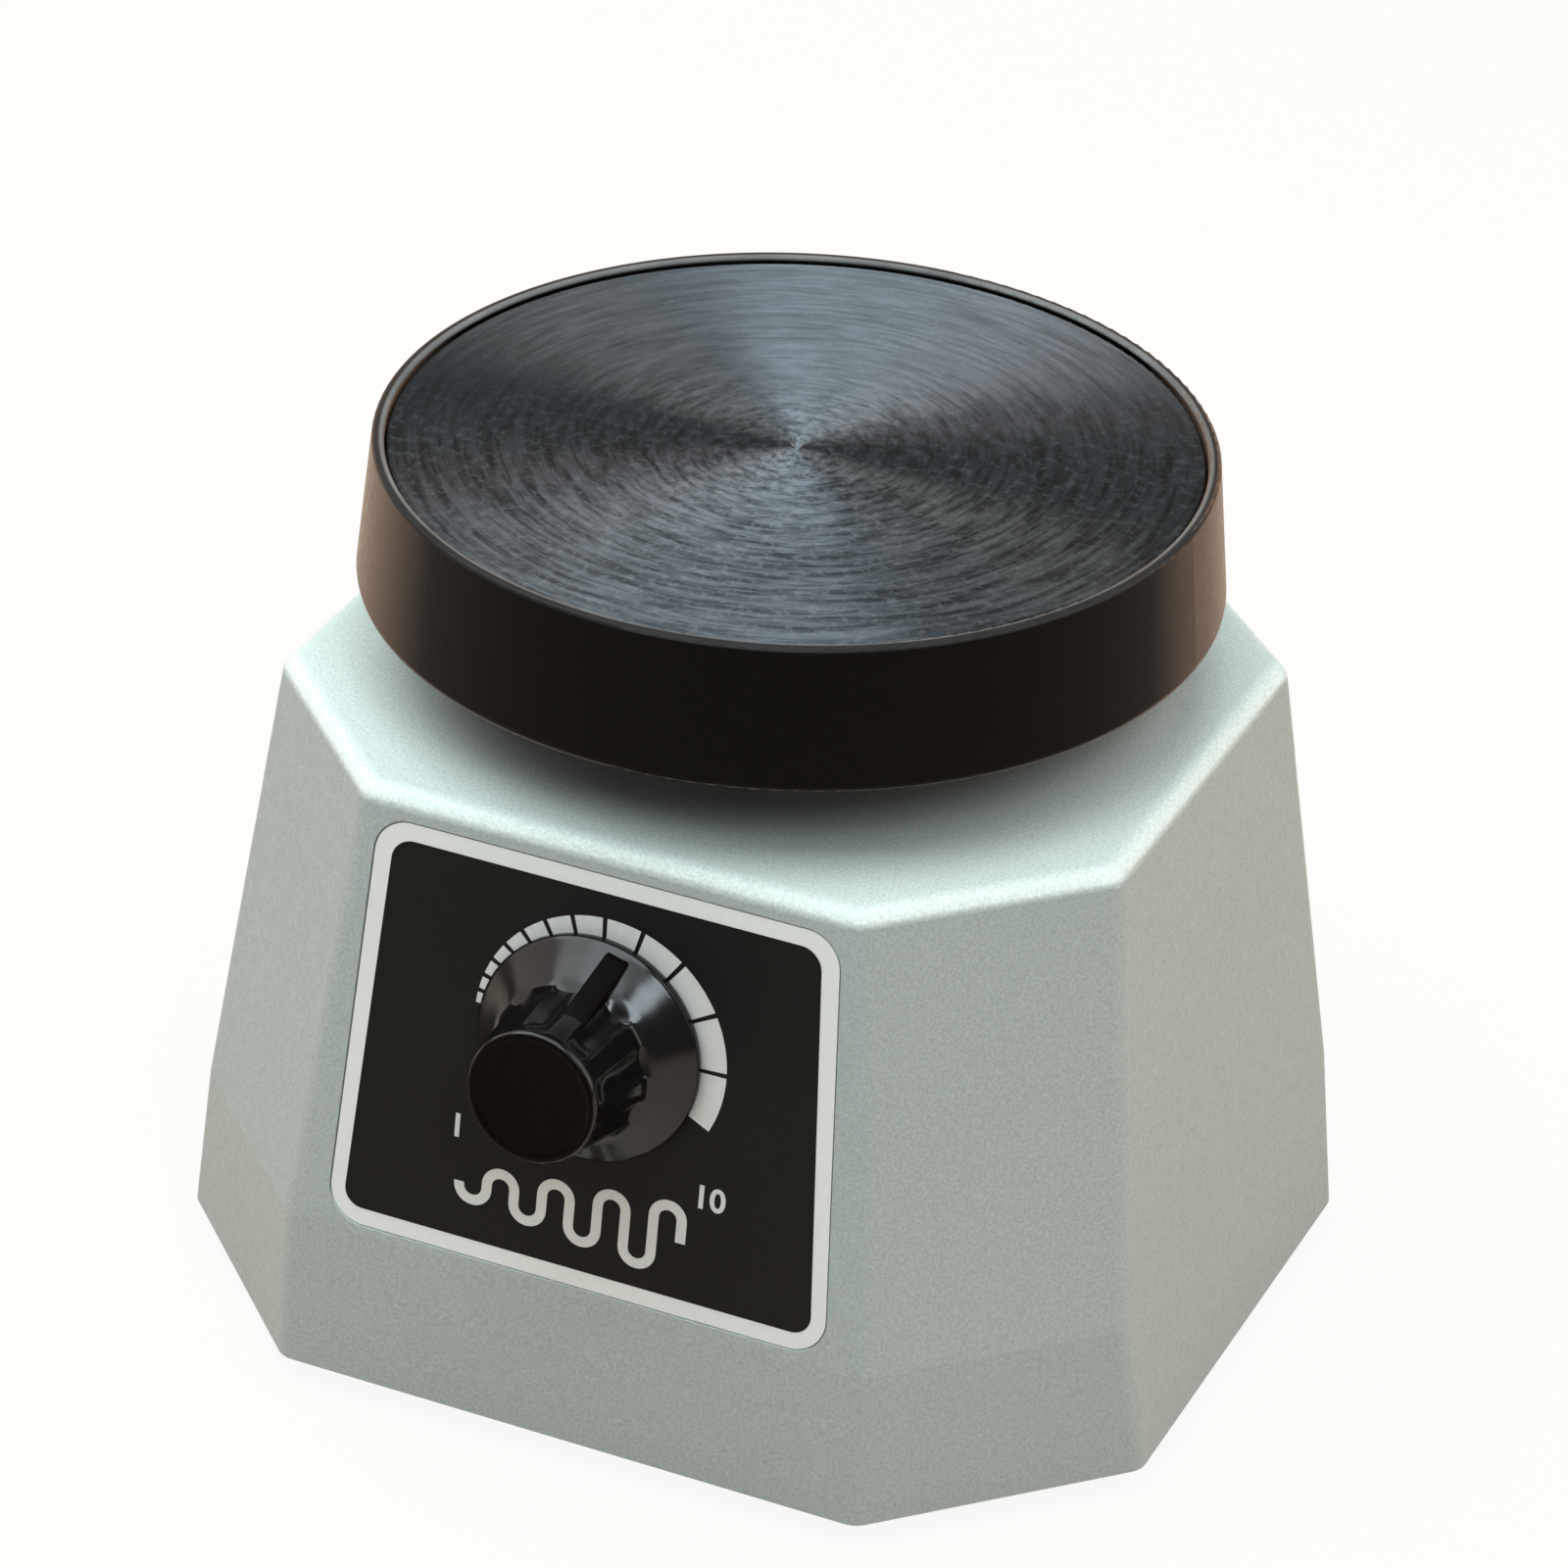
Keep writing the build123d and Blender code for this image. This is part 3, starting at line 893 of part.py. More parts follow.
earth_point = [(EARTH_X, EARTH_Y)]
with BuildPart() as earth_stud:
    rod(facing_down(BASE_PLATE_BOTTOM), [(EARTH_X, -EARTH_Y)], M4_HEAD_RADIUS, M4_HEAD)
    rod(at(BASE_PLATE_BOTTOM), earth_point, M4_RADIUS, FLOOR + FASTENER_LENGTH - BASE_PLATE_BOTTOM)
    slot_heads(facing_down(BASE_PLATE_BOTTOM - M4_HEAD), [(EARTH_X, -EARTH_Y)])

with BuildPart() as earth_nut:
    rod(at(FLOOR), earth_point, EARTH_WASHER_RADIUS, EARTH_WASHER)
    hexagon(at(FLOOR + EARTH_WASHER), earth_point, M4_NUT_FLATS, M4_NUT)
    bore(at(FLOOR), earth_point, M4_RADIUS, EARTH_WASHER + M4_NUT)

# Labels and files
pieces = {
    "housing": housing,
    "base_plate": base_plate,
    "base_plate_screws": base_plate_screws,
    "foot_screws": foot_screws,
    "foot_nuts": foot_nuts,
    "control_label": control_label,
    "pot_body": pot_body,
    "pot_terminals": pot_terminals,
    "pot_washer": pot_washer,
    "pot_nut": pot_nut,
    "pot_wiper": pot_wiper,
    "pot_shaft": pot_shaft,
    "knob": knob,
    "knob_insert": knob_insert,
    "knob_set_screw": knob_set_screw,
    "table_plate": table_plate,
    "table_rim": table_rim,
    "rim_screws": rim_screws,
    "table_stem": table_stem,
    "plate_screws": plate_screws,
    "stem_screws": stem_screws,
    "spring_plate": spring_plate,
    "armature": armature,
    "armature_screws": armature_screws,
    "upper_spring_cups": upper_spring_cups,
    "lower_spring_cups": lower_spring_cups,
    "spring_pillars": spring_pillars,
    "pillar_screws": pillar_screws,
    "magnet_core": magnet_core,
    "core_brackets": core_brackets,
    "core_bolts": core_bolts,
    "core_nuts": core_nuts,
    "bracket_screws": bracket_screws,
    "coil_bobbin": coil_bobbin,
    "coil_winding": coil_winding,
    "dust_boot": dust_boot,
    "circuit_board": circuit_board,
    "board_standoffs": board_standoffs,
    "triac": triac,
    "heat_sink": heat_sink,
    "suppressor_capacitor": suppressor_capacitor,
    "resistors": resistors,
    "terminal_block": terminal_block,
    "coil_leads": coil_leads,
    "pot_leads": pot_leads,
    "gland_body": gland_body,
    "gland_seal": gland_seal,
    "gland_dome_nut": gland_dome_nut,
    "gland_lock_nut": gland_lock_nut,
    "earth_stud": earth_stud,
    "earth_nut": earth_nut,
}
pieces.update(zip(FOOT_NAMES, feet))
pieces.update(zip(SPRING_NAMES, springs))

os.makedirs("parts", exist_ok=True)
for name, piece in pieces.items():
    piece.part.label = name
    export_step(piece.part, f"parts/{name}.step")
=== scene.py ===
"""Looks of the dental plaster vibrating table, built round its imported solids."""

from math import atan2, cos, hypot, pi, radians, sin, tau

import bmesh
import bpy
from mathutils import Matrix, Vector


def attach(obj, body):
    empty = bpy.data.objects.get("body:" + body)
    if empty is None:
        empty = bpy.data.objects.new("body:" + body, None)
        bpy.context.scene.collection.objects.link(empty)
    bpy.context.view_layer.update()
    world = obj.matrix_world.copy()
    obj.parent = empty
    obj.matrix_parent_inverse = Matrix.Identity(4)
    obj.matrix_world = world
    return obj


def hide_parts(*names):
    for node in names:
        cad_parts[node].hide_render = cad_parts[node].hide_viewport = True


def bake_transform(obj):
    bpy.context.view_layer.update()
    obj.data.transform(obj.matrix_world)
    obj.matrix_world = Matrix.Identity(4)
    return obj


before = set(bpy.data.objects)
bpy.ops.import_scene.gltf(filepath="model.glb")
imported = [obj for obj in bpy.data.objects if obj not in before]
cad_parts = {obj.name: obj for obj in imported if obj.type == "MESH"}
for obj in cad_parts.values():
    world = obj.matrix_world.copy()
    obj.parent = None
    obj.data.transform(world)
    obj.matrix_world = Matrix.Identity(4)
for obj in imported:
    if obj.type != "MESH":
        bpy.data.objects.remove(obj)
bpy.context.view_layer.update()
MM = 0.001

# Camera: a long lens, a little above the table and to its right, at the
# photograph's height, turn and slight tilt.
VIEW_TURN, VIEW_HEIGHT, VIEW_TILT = radians(23.06), radians(30.56), radians(2.36)
VIEW_DISTANCE, VIEW_CENTRE_Z = 0.850, 0.063
SHIFT_ACROSS, SHIFT_UP = 0.00016, 0.00048
SENSOR, LENS = 36.0, 160.16


def heading(turn, height):
    """The way from the object to a place; turn runs from the front to the right, height from the horizon."""
    return Vector((sin(turn) * cos(height), -cos(turn) * cos(height), sin(height)))


away = heading(VIEW_TURN, VIEW_HEIGHT)
flat_right = Vector((cos(VIEW_TURN), sin(VIEW_TURN), 0))
steep_up = away.cross(flat_right)
across = cos(VIEW_TILT) * flat_right + sin(VIEW_TILT) * steep_up
upward = cos(VIEW_TILT) * steep_up - sin(VIEW_TILT) * flat_right
camera = bpy.data.objects.new("camera", bpy.data.cameras.new("camera"))
camera.data.sensor_width = SENSOR
camera.data.lens = LENS
camera.matrix_world = Matrix((across, upward, away)).transposed().to_4x4()
camera.location = SHIFT_ACROSS * across + SHIFT_UP * upward + VIEW_DISTANCE * away
camera.location += Vector((0, 0, VIEW_CENTRE_Z))
bpy.context.scene.collection.objects.link(camera)
bpy.context.scene.camera = camera
bpy.context.scene.view_settings.view_transform = "Standard"

# Studio: a plain pale bench top, white as far as the eye sees, broad cool
# lamps above, a small one in front and two wide warm ones at the sides.
WHITE, COOL = (1.0, 1.0, 0.99), (0.86, 0.98, 1.0)
BENCH_COLOUR, BENCH_HALF, BENCH_GLOW, GLOSS_SHARE = (0.66, 0.54, 0.44), 4.0, 0.92, 0.08
WALL_LOW, WALL_HIGH, WALL_STRENGTH = (0.83, 0.75, 0.67), (0.85, 0.95, 1.0), 0.12
WARM_UP_TO, COOL_FROM, AIM_Z = 0.05, 0.6, 60 * MM


def add(tree, kind, inputs=None, **settings):
    """Adds a shader node; an input, by name or number, is a value, a colour or the socket it reads."""
    node = tree.nodes.new("ShaderNode" + kind)
    for setting, value in settings.items():
        setattr(node, setting, value)
    for key, value in (inputs or {}).items():
        if isinstance(value, bpy.types.NodeSocket):
            tree.links.new(value, node.inputs[key])
        elif node.inputs[key].type == "RGBA":
            node.inputs[key].default_value = (*value, 1)
        else:
            node.inputs[key].default_value = value
    return node


def work_out(tree, operation, first, second=0.5, third=0.5):
    """The result of one step of arithmetic."""
    return add(tree, "Math", {0: first, 1: second, 2: third}, operation=operation).outputs[0]


def spread(tree, value, start, end, low=0.0, high=1.0):
    """A value carried from one span to another, and held at its ends."""
    return add(tree, "MapRange", {0: value, 1: start, 2: end, 3: low, 4: high}).outputs[0]


def mix(tree, share, first, second, mode="MIX"):
    """A colour between two colours, or their product."""
    return add(tree, "Mix", {0: share, 6: first, 7: second}, data_type="RGBA", blend_type=mode).outputs[2]


def background_share(tree):
    """How much of the white background a ray sees: all from the camera or through glass, some in a gloss."""
    path = add(tree, "LightPath").outputs
    gloss = work_out(tree, "MULTIPLY", path["Is Glossy Ray"], GLOSS_SHARE)
    direct = work_out(tree, "MAXIMUM", path["Is Camera Ray"], path["Is Transmission Ray"])
    return work_out(tree, "MAXIMUM", direct, gloss)


bench_shape = bmesh.new()
bmesh.ops.create_grid(bench_shape, x_segments=1, y_segments=1, size=BENCH_HALF)
bench_mesh = bpy.data.meshes.new("bench_top")
bench_shape.to_mesh(bench_mesh)
bench_shape.free()
bench = bpy.data.objects.new("bench_top", bench_mesh)
bpy.context.scene.collection.objects.link(bench)
bench_finish = bpy.data.materials.new("bench_top")
bench_finish.use_nodes = True
tree = bench_finish.node_tree
tree.nodes.remove(tree.nodes["Principled BSDF"])
seen = work_out(tree, "MULTIPLY", background_share(tree), BENCH_GLOW)
matt = add(tree, "BsdfDiffuse", {"Color": BENCH_COLOUR})
glow = add(tree, "Emission", {"Color": WHITE, "Strength": 1.0})
bench_look = add(tree, "MixShader", {0: seen, 1: matt.outputs[0], 2: glow.outputs[0]})
tree.links.new(bench_look.outputs[0], tree.nodes["Material Output"].inputs["Surface"])
bench.data.materials.append(bench_finish)

sky = bpy.data.worlds.new("studio")
bpy.context.scene.world = sky
sky.use_nodes = True
tree = sky.node_tree
soft = tree.nodes["Background"]
soft.inputs["Strength"].default_value = WALL_STRENGTH
sky_way = add(tree, "SeparateXYZ", {0: add(tree, "TexCoord").outputs["Generated"]})
lift = spread(tree, sky_way.outputs["Z"], WARM_UP_TO, COOL_FROM)
tree.links.new(mix(tree, lift, WALL_LOW, WALL_HIGH), soft.inputs["Color"])
white = add(tree, "Background", {"Color": WHITE, "Strength": 1.0})
sky_look = add(tree, "MixShader", {0: background_share(tree), 1: soft.outputs[0], 2: white.outputs[0]})
tree.links.new(sky_look.outputs[0], tree.nodes["World Output"].inputs["Surface"])


def soft_box(name, turn, height, distance, size, power, colour=COOL):
    """A square lamp aimed at the object, placed by its turn and height in degrees."""
    lamp = bpy.data.lights.new(name, "AREA")
    lamp.shape = "SQUARE"
    lamp.size = size
    lamp.energy = power
    lamp.color = colour
    back = heading(radians(turn), radians(height))
    placed = bpy.data.objects.new(name, lamp)
    placed.rotation_mode = "QUATERNION"
    placed.rotation_quaternion = back.to_track_quat("Z", "Y")
    placed.location = back * distance + Vector((0, 0, AIM_Z))
    bpy.context.scene.collection.objects.link(placed)


soft_box("lamp_above", turn=-72, height=74, distance=0.95, size=1.25, power=11.5)
soft_box("lamp_top_front", turn=-5, height=62, distance=0.95, size=0.70, power=2.8)
soft_box(
    "lamp_front_right", turn=40, height=42, distance=0.95, size=0.25, power=2.0, colour=(0.80, 0.93, 1.0)
)
soft_box("lamp_left", turn=-92, height=36, distance=1.10, size=1.25, power=5.0, colour=(1.0, 0.90, 0.85))
soft_box("lamp_right", turn=116, height=33, distance=1.10, size=1.20, power=7.9, colour=(1.0, 0.94, 0.86))

# Base plate: zinc plated sheet steel let into the foot of the housing, held by
# four slotted screws into the housing's bosses.
METAL = {"Metallic": 1.0}
CLOUD_LOW, CLOUD_HIGH, CLOUD_DETAIL = 0.3, 0.7, 3.0


def noise(tree, where, scale, detail, roughness=0.5):
    """A cloudy value that changes from place to place; scale counts the clouds in a metre."""
    inputs = {"Vector": where, "Scale": scale, "Detail": detail, "Roughness": roughness}
    return add(tree, "TexNoise", inputs).outputs[0]


def relief_of(tree, height, distance, strength=1.0):
    """The surface direction of a fine relief."""
    return add(tree, "Bump", {"Strength": strength, "Distance": distance, "Height": height}).outputs[0]


def feed(material, **sockets):
    """Joins sockets to inputs of a material's surface shader; an underscore stands for a blank."""
    tree = material.node_tree
    for key, socket in sockets.items():
        tree.links.new(socket, tree.nodes["Principled BSDF"].inputs[key.replace("_", " ")])


def plain(name, colour, **values):
    """A material of one colour; a keyword is an input of its shader, with an underscore for a blank."""
    made = bpy.data.materials.new(name)
    made.use_nodes = True
    surface = made.node_tree.nodes["Principled BSDF"]
    surface.inputs["Base Color"].default_value = (*colour, 1)
    for key, value in values.items():
        surface.inputs[key.replace("_", " ")].default_value = value
    return made


def finish(name, colour, other_colour, gloss, grain, relief, stretch=(1, 1, 1), **values):
    """A material that wanders between two colours and two glosses; grain and relief are in millimetres."""
    made = plain(name, colour, **values)
    tree = made.node_tree
    place = add(tree, "TexCoord").outputs["Object"]
    stretched = add(tree, "Mapping", {0: place, "Scale": stretch}).outputs[0]
    cloud = noise(tree, stretched, 1 / (grain * MM), CLOUD_DETAIL)
    feed(
        made,
        Base_Color=mix(tree, cloud, colour, other_colour),
        Roughness=spread(tree, cloud, CLOUD_LOW, CLOUD_HIGH, *gloss),
        Normal=relief_of(tree, cloud, relief * MM),
    )
    return made


def dress(material, *names):
    """Gives a finish to solids whose shape stays as it is."""
    for name in names:
        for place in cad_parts[name].material_slots:
            place.material = material


zinc_sheet = finish("zinc_sheet", (0.52, 0.53, 0.54), (0.62, 0.62, 0.60), (0.28, 0.48), 6.0, 0.02, **METAL)
zinc_screw = finish("zinc_screw", (0.56, 0.57, 0.58), (0.66, 0.64, 0.56), (0.22, 0.42), 0.8, 0.01, **METAL)
dress(zinc_sheet, "base_plate")
dress(zinc_screw, "base_plate_screws")

# Feet: four moulded rubber buttons under the base plate, each held by a
# slotted screw and a nut.
foot_rubber = finish("foot_rubber", (0.018, 0.018, 0.019), (0.034, 0.033, 0.032), (0.6, 0.85), 0.7, 0.03)
dress(foot_rubber, "foot_rear_right", "foot_rear_left", "foot_front_left", "foot_front_right")
dress(zinc_screw, "foot_screws", "foot_nuts")

# Electromagnet: a stack of varnished iron plates held between two angle
# brackets by long bolts, with a moulded bobbin of enamelled wire on its middle leg.
ACROSS_THE_STACK, ROUND_THE_LEG = (0.05, 1, 0.05), (0.05, 0.05, 1)
core_iron = finish(
    "core_iron", (0.16, 0.16, 0.17), (0.26, 0.25, 0.24), (0.35, 0.6), 0.5, 0.03, ACROSS_THE_STACK,
    Metallic=0.8,
)
bobbin_nylon = finish("bobbin_nylon", (0.02, 0.02, 0.022), (0.035, 0.035, 0.035), (0.35, 0.5), 2.0, 0.01)
wound_wire = finish(
    "wound_wire", (0.42, 0.13, 0.05), (0.6, 0.26, 0.1), (0.2, 0.4), 0.5, 0.12, ROUND_THE_LEG, Metallic=0.7
)
dress(core_iron, "magnet_core")
dress(zinc_sheet, "core_brackets")
dress(zinc_screw, "core_bolts", "core_nuts", "bracket_screws")
dress(bobbin_nylon, "coil_bobbin")
dress(wound_wire, "coil_winding")

# Spring suspension: hexagon pillars with nylon cups carry four coil springs
# under the moving plate.
SPRING_PLACES = {
    "spring_rear_right": (34.0 * MM, 21.0 * MM),
    "spring_rear_left": (-34.0 * MM, 21.0 * MM),
    "spring_front_left": (-34.0 * MM, -21.0 * MM),
    "spring_front_right": (34.0 * MM, -21.0 * MM),
}
SPRING_LOW, SPRING_HIGH, SPRING_RADIUS, WIRE_RADIUS = 29.0 * MM, 47.0 * MM, 4.9 * MM, 0.8 * MM
SPRING_TURNS, TURN_STEPS, WIRE_SIDES, END_GROUND = 5.5, 40, 14, 0.5 * MM
SPRING_STEPS = int(SPRING_TURNS * TURN_STEPS)
FIRST_MIDDLE = SPRING_LOW + WIRE_RADIUS - END_GROUND
LAST_MIDDLE = SPRING_HIGH - WIRE_RADIUS + END_GROUND
SHARP_EDGE, TURNED = radians(28), (0.1, 0.1, 1)


def place_piece(name, shape, body, material, replaced=()):
    """Makes a shape into an object of a material slot, which rides on a body if one is named."""
    mesh = bpy.data.meshes.new(name)
    shape.to_mesh(mesh)
    shape.free()
    for polygon in mesh.polygons:
        polygon.use_smooth = True
    mesh.set_sharp_from_angle(angle=SHARP_EDGE)
    mesh.materials.append(material)
    made = bpy.data.objects.new(name, mesh)
    bpy.context.scene.collection.objects.link(made)
    if body:
        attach(made, body)
    if replaced:
        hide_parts(*replaced)
    return made


turned_steel = finish(
    "turned_steel", (0.48, 0.48, 0.49), (0.58, 0.57, 0.55), (0.24, 0.42), 0.6, 0.01, TURNED, **METAL
)
spring_wire = finish("spring_wire", (0.2, 0.2, 0.22), (0.3, 0.29, 0.28), (0.2, 0.4), 1.0, 0.01, **METAL)
cup_nylon = finish("cup_nylon", (0.62, 0.6, 0.53), (0.7, 0.68, 0.62), (0.35, 0.5), 2.0, 0.01)
dress(turned_steel, "spring_pillars", "table_stem")
dress(zinc_screw, "pillar_screws", "stem_screws", "plate_screws", "rim_screws", "armature_screws")
dress(cup_nylon, "lower_spring_cups", "upper_spring_cups")
dress(zinc_sheet, "spring_plate")
dress(core_iron, "armature")
for node, (x, y) in SPRING_PLACES.items():
    coil = bmesh.new()
    last = None
    for step in range(SPRING_STEPS + 1):
        turn = tau * step / TURN_STEPS
        middle = FIRST_MIDDLE + (LAST_MIDDLE - FIRST_MIDDLE) * step / SPRING_STEPS
        wire = []
        for side in range(WIRE_SIDES):
            reach = SPRING_RADIUS + WIRE_RADIUS * cos(tau * side / WIRE_SIDES)
            lift = middle + WIRE_RADIUS * sin(tau * side / WIRE_SIDES)
            ground = min(max(lift, SPRING_LOW), SPRING_HIGH)
            wire.append(coil.verts.new((x + reach * cos(turn), y + reach * sin(turn), ground)))
        if last:
            for side in range(WIRE_SIDES):
                after = (side + 1) % WIRE_SIDES
                coil.faces.new((last[side], last[after], wire[after], wire[side]))
        else:
            coil.faces.new(wire)
        last = wire
    coil.faces.new(last)
    bmesh.ops.recalc_face_normals(coil, faces=coil.faces[:])
    wound = place_piece(node + "_coil", coil, None, spring_wire, [node])
    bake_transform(wound)

# Control board: a small coated board on snap-in nylon posts, with its triac on
# a folded heat sink, a suppressor, resistors, a terminal block and its leads.
board_coat = finish("board_coat", (0.02, 0.11, 0.05), (0.03, 0.15, 0.07), (0.25, 0.4), 3.0, 0.01)
black_epoxy = finish("black_epoxy", (0.012, 0.012, 0.012), (0.025, 0.025, 0.025), (0.35, 0.6), 0.6, 0.01)
sink_black = finish(
    "sink_black", (0.03, 0.03, 0.032), (0.05, 0.05, 0.05), (0.35, 0.55), 0.8, 0.01, Metallic=0.5
)
suppressor_yellow = finish("suppressor_yellow", (0.62, 0.42, 0.04), (0.7, 0.5, 0.07), (0.25, 0.4), 2.0, 0.01)
resistor_tan = finish("resistor_tan", (0.5, 0.34, 0.18), (0.6, 0.44, 0.26), (0.3, 0.5), 0.8, 0.01)
block_green = finish("block_green", (0.03, 0.2, 0.07), (0.04, 0.26, 0.1), (0.3, 0.5), 2.0, 0.01)
lead_sleeve = finish("lead_sleeve", (0.42, 0.02, 0.015), (0.5, 0.03, 0.02), (0.3, 0.45), 2.0, 0.01)
dress(board_coat, "circuit_board")
dress(cup_nylon, "board_standoffs")
dress(black_epoxy, "triac")
dress(sink_black, "heat_sink")
dress(suppressor_yellow, "suppressor_capacitor")
dress(resistor_tan, "resistors")
dress(block_green, "terminal_block")
dress(lead_sleeve, "coil_leads", "pot_leads")

# Speed control: a round steel can behind the sloping face, its bushing through
# wall and label with a washer and a nut, hidden in the knob's skirt.
pot_steel = finish("pot_steel", (0.6, 0.59, 0.56), (0.68, 0.66, 0.62), (0.24, 0.4), 2.0, 0.01, **METAL)
wiper_resin = finish("wiper_resin", (0.12, 0.06, 0.03), (0.16, 0.09, 0.05), (0.4, 0.6), 1.0, 0.01)
insert_brass = finish("insert_brass", (0.62, 0.44, 0.17), (0.7, 0.52, 0.24), (0.22, 0.4), 1.0, 0.01, **METAL)
dress(pot_steel, "pot_body", "pot_washer", "pot_nut", "pot_shaft", "pot_terminals")
dress(wiper_resin, "pot_wiper")
dress(insert_brass, "knob_insert")
dress(black_epoxy, "knob_set_screw")

# Housing: one casting with sloping sides, stove enamelled in a pale grey-green
# hammered paint; painted light makes its upward faces and top edges paler, and
# a painted shadow darkens the top under the table.
# The last colour here is a gain of painted light: it makes upward faces up to twice as pale.
PAINT_DARK, PAINT_PALE, TOP_LIGHT_GAIN = (0.245, 0.275, 0.270), (0.475, 0.532, 0.524), (2.0, 1.96, 1.9)
# The last colour here is a painted shadow, laid on the top under the table.
WASH_DARK, WASH_PALE, PAINTED_SHADOW = (0.95, 0.96, 0.96), (1.0, 1.0, 0.99), (0.05, 0.052, 0.05)
SPECKLE_SCALE, DIMPLE_SCALE, WASH_SCALE = 2600.0, 900.0, 30.0
# Share of that painted light by how far a face looks up: none on the sides, most on the top edges.
PAINTED_TOP_LIGHT = ((0.0, 0.0), (0.2, 0.0), (0.5, 1.0), (0.85, 1.0), (1.0, 0.8))
# Where the painted shadow under the table fades out, and how dark it gets.
SHADOW_INSIDE, SHADOW_OUTSIDE, SHADOW_SHARE = 34.0 * MM, 47.0 * MM, 0.45
PAINT_GLOSS, PAINT_RELIEF = (0.36, 0.52), 0.06 * MM


def from_axis(tree, place):
    """A point's place with its height left out, and its distance from the table's axis."""
    flat = add(tree, "VectorMath", {0: place, 1: (1, 1, 0)}, operation="MULTIPLY").outputs[0]
    return flat, add(tree, "VectorMath", {0: flat}, operation="LENGTH").outputs["Value"]


hammer_paint = plain("hammer_paint", PAINT_PALE)
tree = hammer_paint.node_tree
place = add(tree, "TexCoord").outputs
speckle = noise(tree, place["Object"], SPECKLE_SCALE, 2.0)
dimple = noise(tree, place["Object"], DIMPLE_SCALE, 2.0)
wash = mix(tree, noise(tree, place["Object"], WASH_SCALE, 2.0), WASH_DARK, WASH_PALE)
paint_tone = mix(tree, 1.0, mix(tree, speckle, PAINT_DARK, PAINT_PALE), wash, "MULTIPLY")
facing = add(tree, "SeparateXYZ", {0: place["Normal"]})
top_light_share = add(tree, "ValToRGB", {0: facing.outputs["Z"]})
while len(top_light_share.color_ramp.elements) < len(PAINTED_TOP_LIGHT):
    top_light_share.color_ramp.elements.new(0.5)
for point, (upness, share) in zip(top_light_share.color_ramp.elements, PAINTED_TOP_LIGHT):
    point.position = upness
    point.color = (share, share, share, 1)
# Painted light: upward faces and top edges are made paler than the paint itself.
paint_with_top_light = mix(tree, top_light_share.outputs[0], paint_tone, mix(tree, 1.0, paint_tone, TOP_LIGHT_GAIN, "MULTIPLY"))
_, reach = from_axis(tree, place["Object"])
# Painted shadow: the top is darkened near the table's axis, where the table shades it.
shadow_share = spread(tree, reach, SHADOW_INSIDE, SHADOW_OUTSIDE, SHADOW_SHARE, 0.0)
feed(
    hammer_paint,
    Base_Color=mix(tree, shadow_share, paint_with_top_light, PAINTED_SHADOW),
    Roughness=spread(tree, dimple, CLOUD_LOW, CLOUD_HIGH, *PAINT_GLOSS),
    Normal=relief_of(tree, work_out(tree, "ADD", dimple, speckle), PAINT_RELIEF, strength=0.8),
)
dress(hammer_paint, "housing")

# Control label: a thin aluminium plate bonded in the recess of the front face,
# its border left pale and the field screened black with a white scale.
FACE_MIDDLE_Z, TOP_Z, WAIST_Z = 51.2 * MM, 81.2 * MM, 23.4 * MM
TOP_HALF_DEPTH, WAIST_HALF_DEPTH = 50.0 * MM, 57.5 * MM
FACE_SLOPE = (WAIST_HALF_DEPTH - TOP_HALF_DEPTH) / (TOP_Z - WAIST_Z)
FACE_MIDDLE_Y = -TOP_HALF_DEPTH - FACE_SLOPE * (TOP_Z - FACE_MIDDLE_Z)
LABEL_LIFT, PRINT_THICKNESS = -0.1 * MM, 0.05 * MM
FIELD_TOP, FIELD_BOTTOM, FIELD_HEIGHT, FIELD_CORNER = 54.6 * MM, 61.2 * MM, 49.0 * MM, 2.6 * MM
DIAL_RISE = 5.1 * MM
SCALE_RADIUS, SCALE_START, SCALE_GAP = 16.2 * MM, radians(-85.5), radians(2.2)
SCALE_RIGHT, SCALE_UP = 0.9 * MM, DIAL_RISE + 0.1 * MM
SCALE_SHARES = (7.0, 7.6, 8.6, 9.7, 10.9, 12.2, 13.2, 15.0, 17.6, 21.0, 25.0, 27.0, 28.7)
MARK_NARROW, MARK_WIDENING, MARK_POWER = 0.8 * MM, 4.3 * MM, 0.9
NUMERAL_SIZE, NUMERAL_WEIGHT = 4.2 * MM, 0.09 * MM
FIRST_NUMERAL_AT, LAST_NUMERAL_AT = (-16.4 * MM, -10.2 * MM), (16.4 * MM, -10.6 * MM)
WAVE_LEFT, WAVE_MIDDLE, WAVE_LINE = -15.6 * MM, -17.2 * MM, 1.3 * MM
WAVE_PITCH, WAVE_RUNS, WAVE_FIRST, WAVE_GROWTH = 3.6 * MM, 8, 0.2 * MM, 0.36 * MM
tilt = Matrix.Rotation(pi / 2 - atan2(FACE_SLOPE, 1), 4, "X")
face = Matrix.Translation((0, FACE_MIDDLE_Y, FACE_MIDDLE_Z)) @ tilt


def print_piece(name, shape, material, right=0.0, up=0.0, lift=LABEL_LIFT + PRINT_THICKNESS):
    """Thickens a flat shape, lays it on the label and prints it in a material."""
    raised = bmesh.ops.extrude_face_region(shape, geom=shape.faces[:])
    tops = [part for part in raised["geom"] if isinstance(part, bmesh.types.BMVert)]
    bmesh.ops.translate(shape, vec=(0, 0, PRINT_THICKNESS), verts=tops)
    bmesh.ops.recalc_face_normals(shape, faces=shape.faces[:])
    bmesh.ops.translate(shape, vec=(right, up, lift), verts=shape.verts[:])
    shape.transform(face)
    place_piece(name, shape, "base", material)


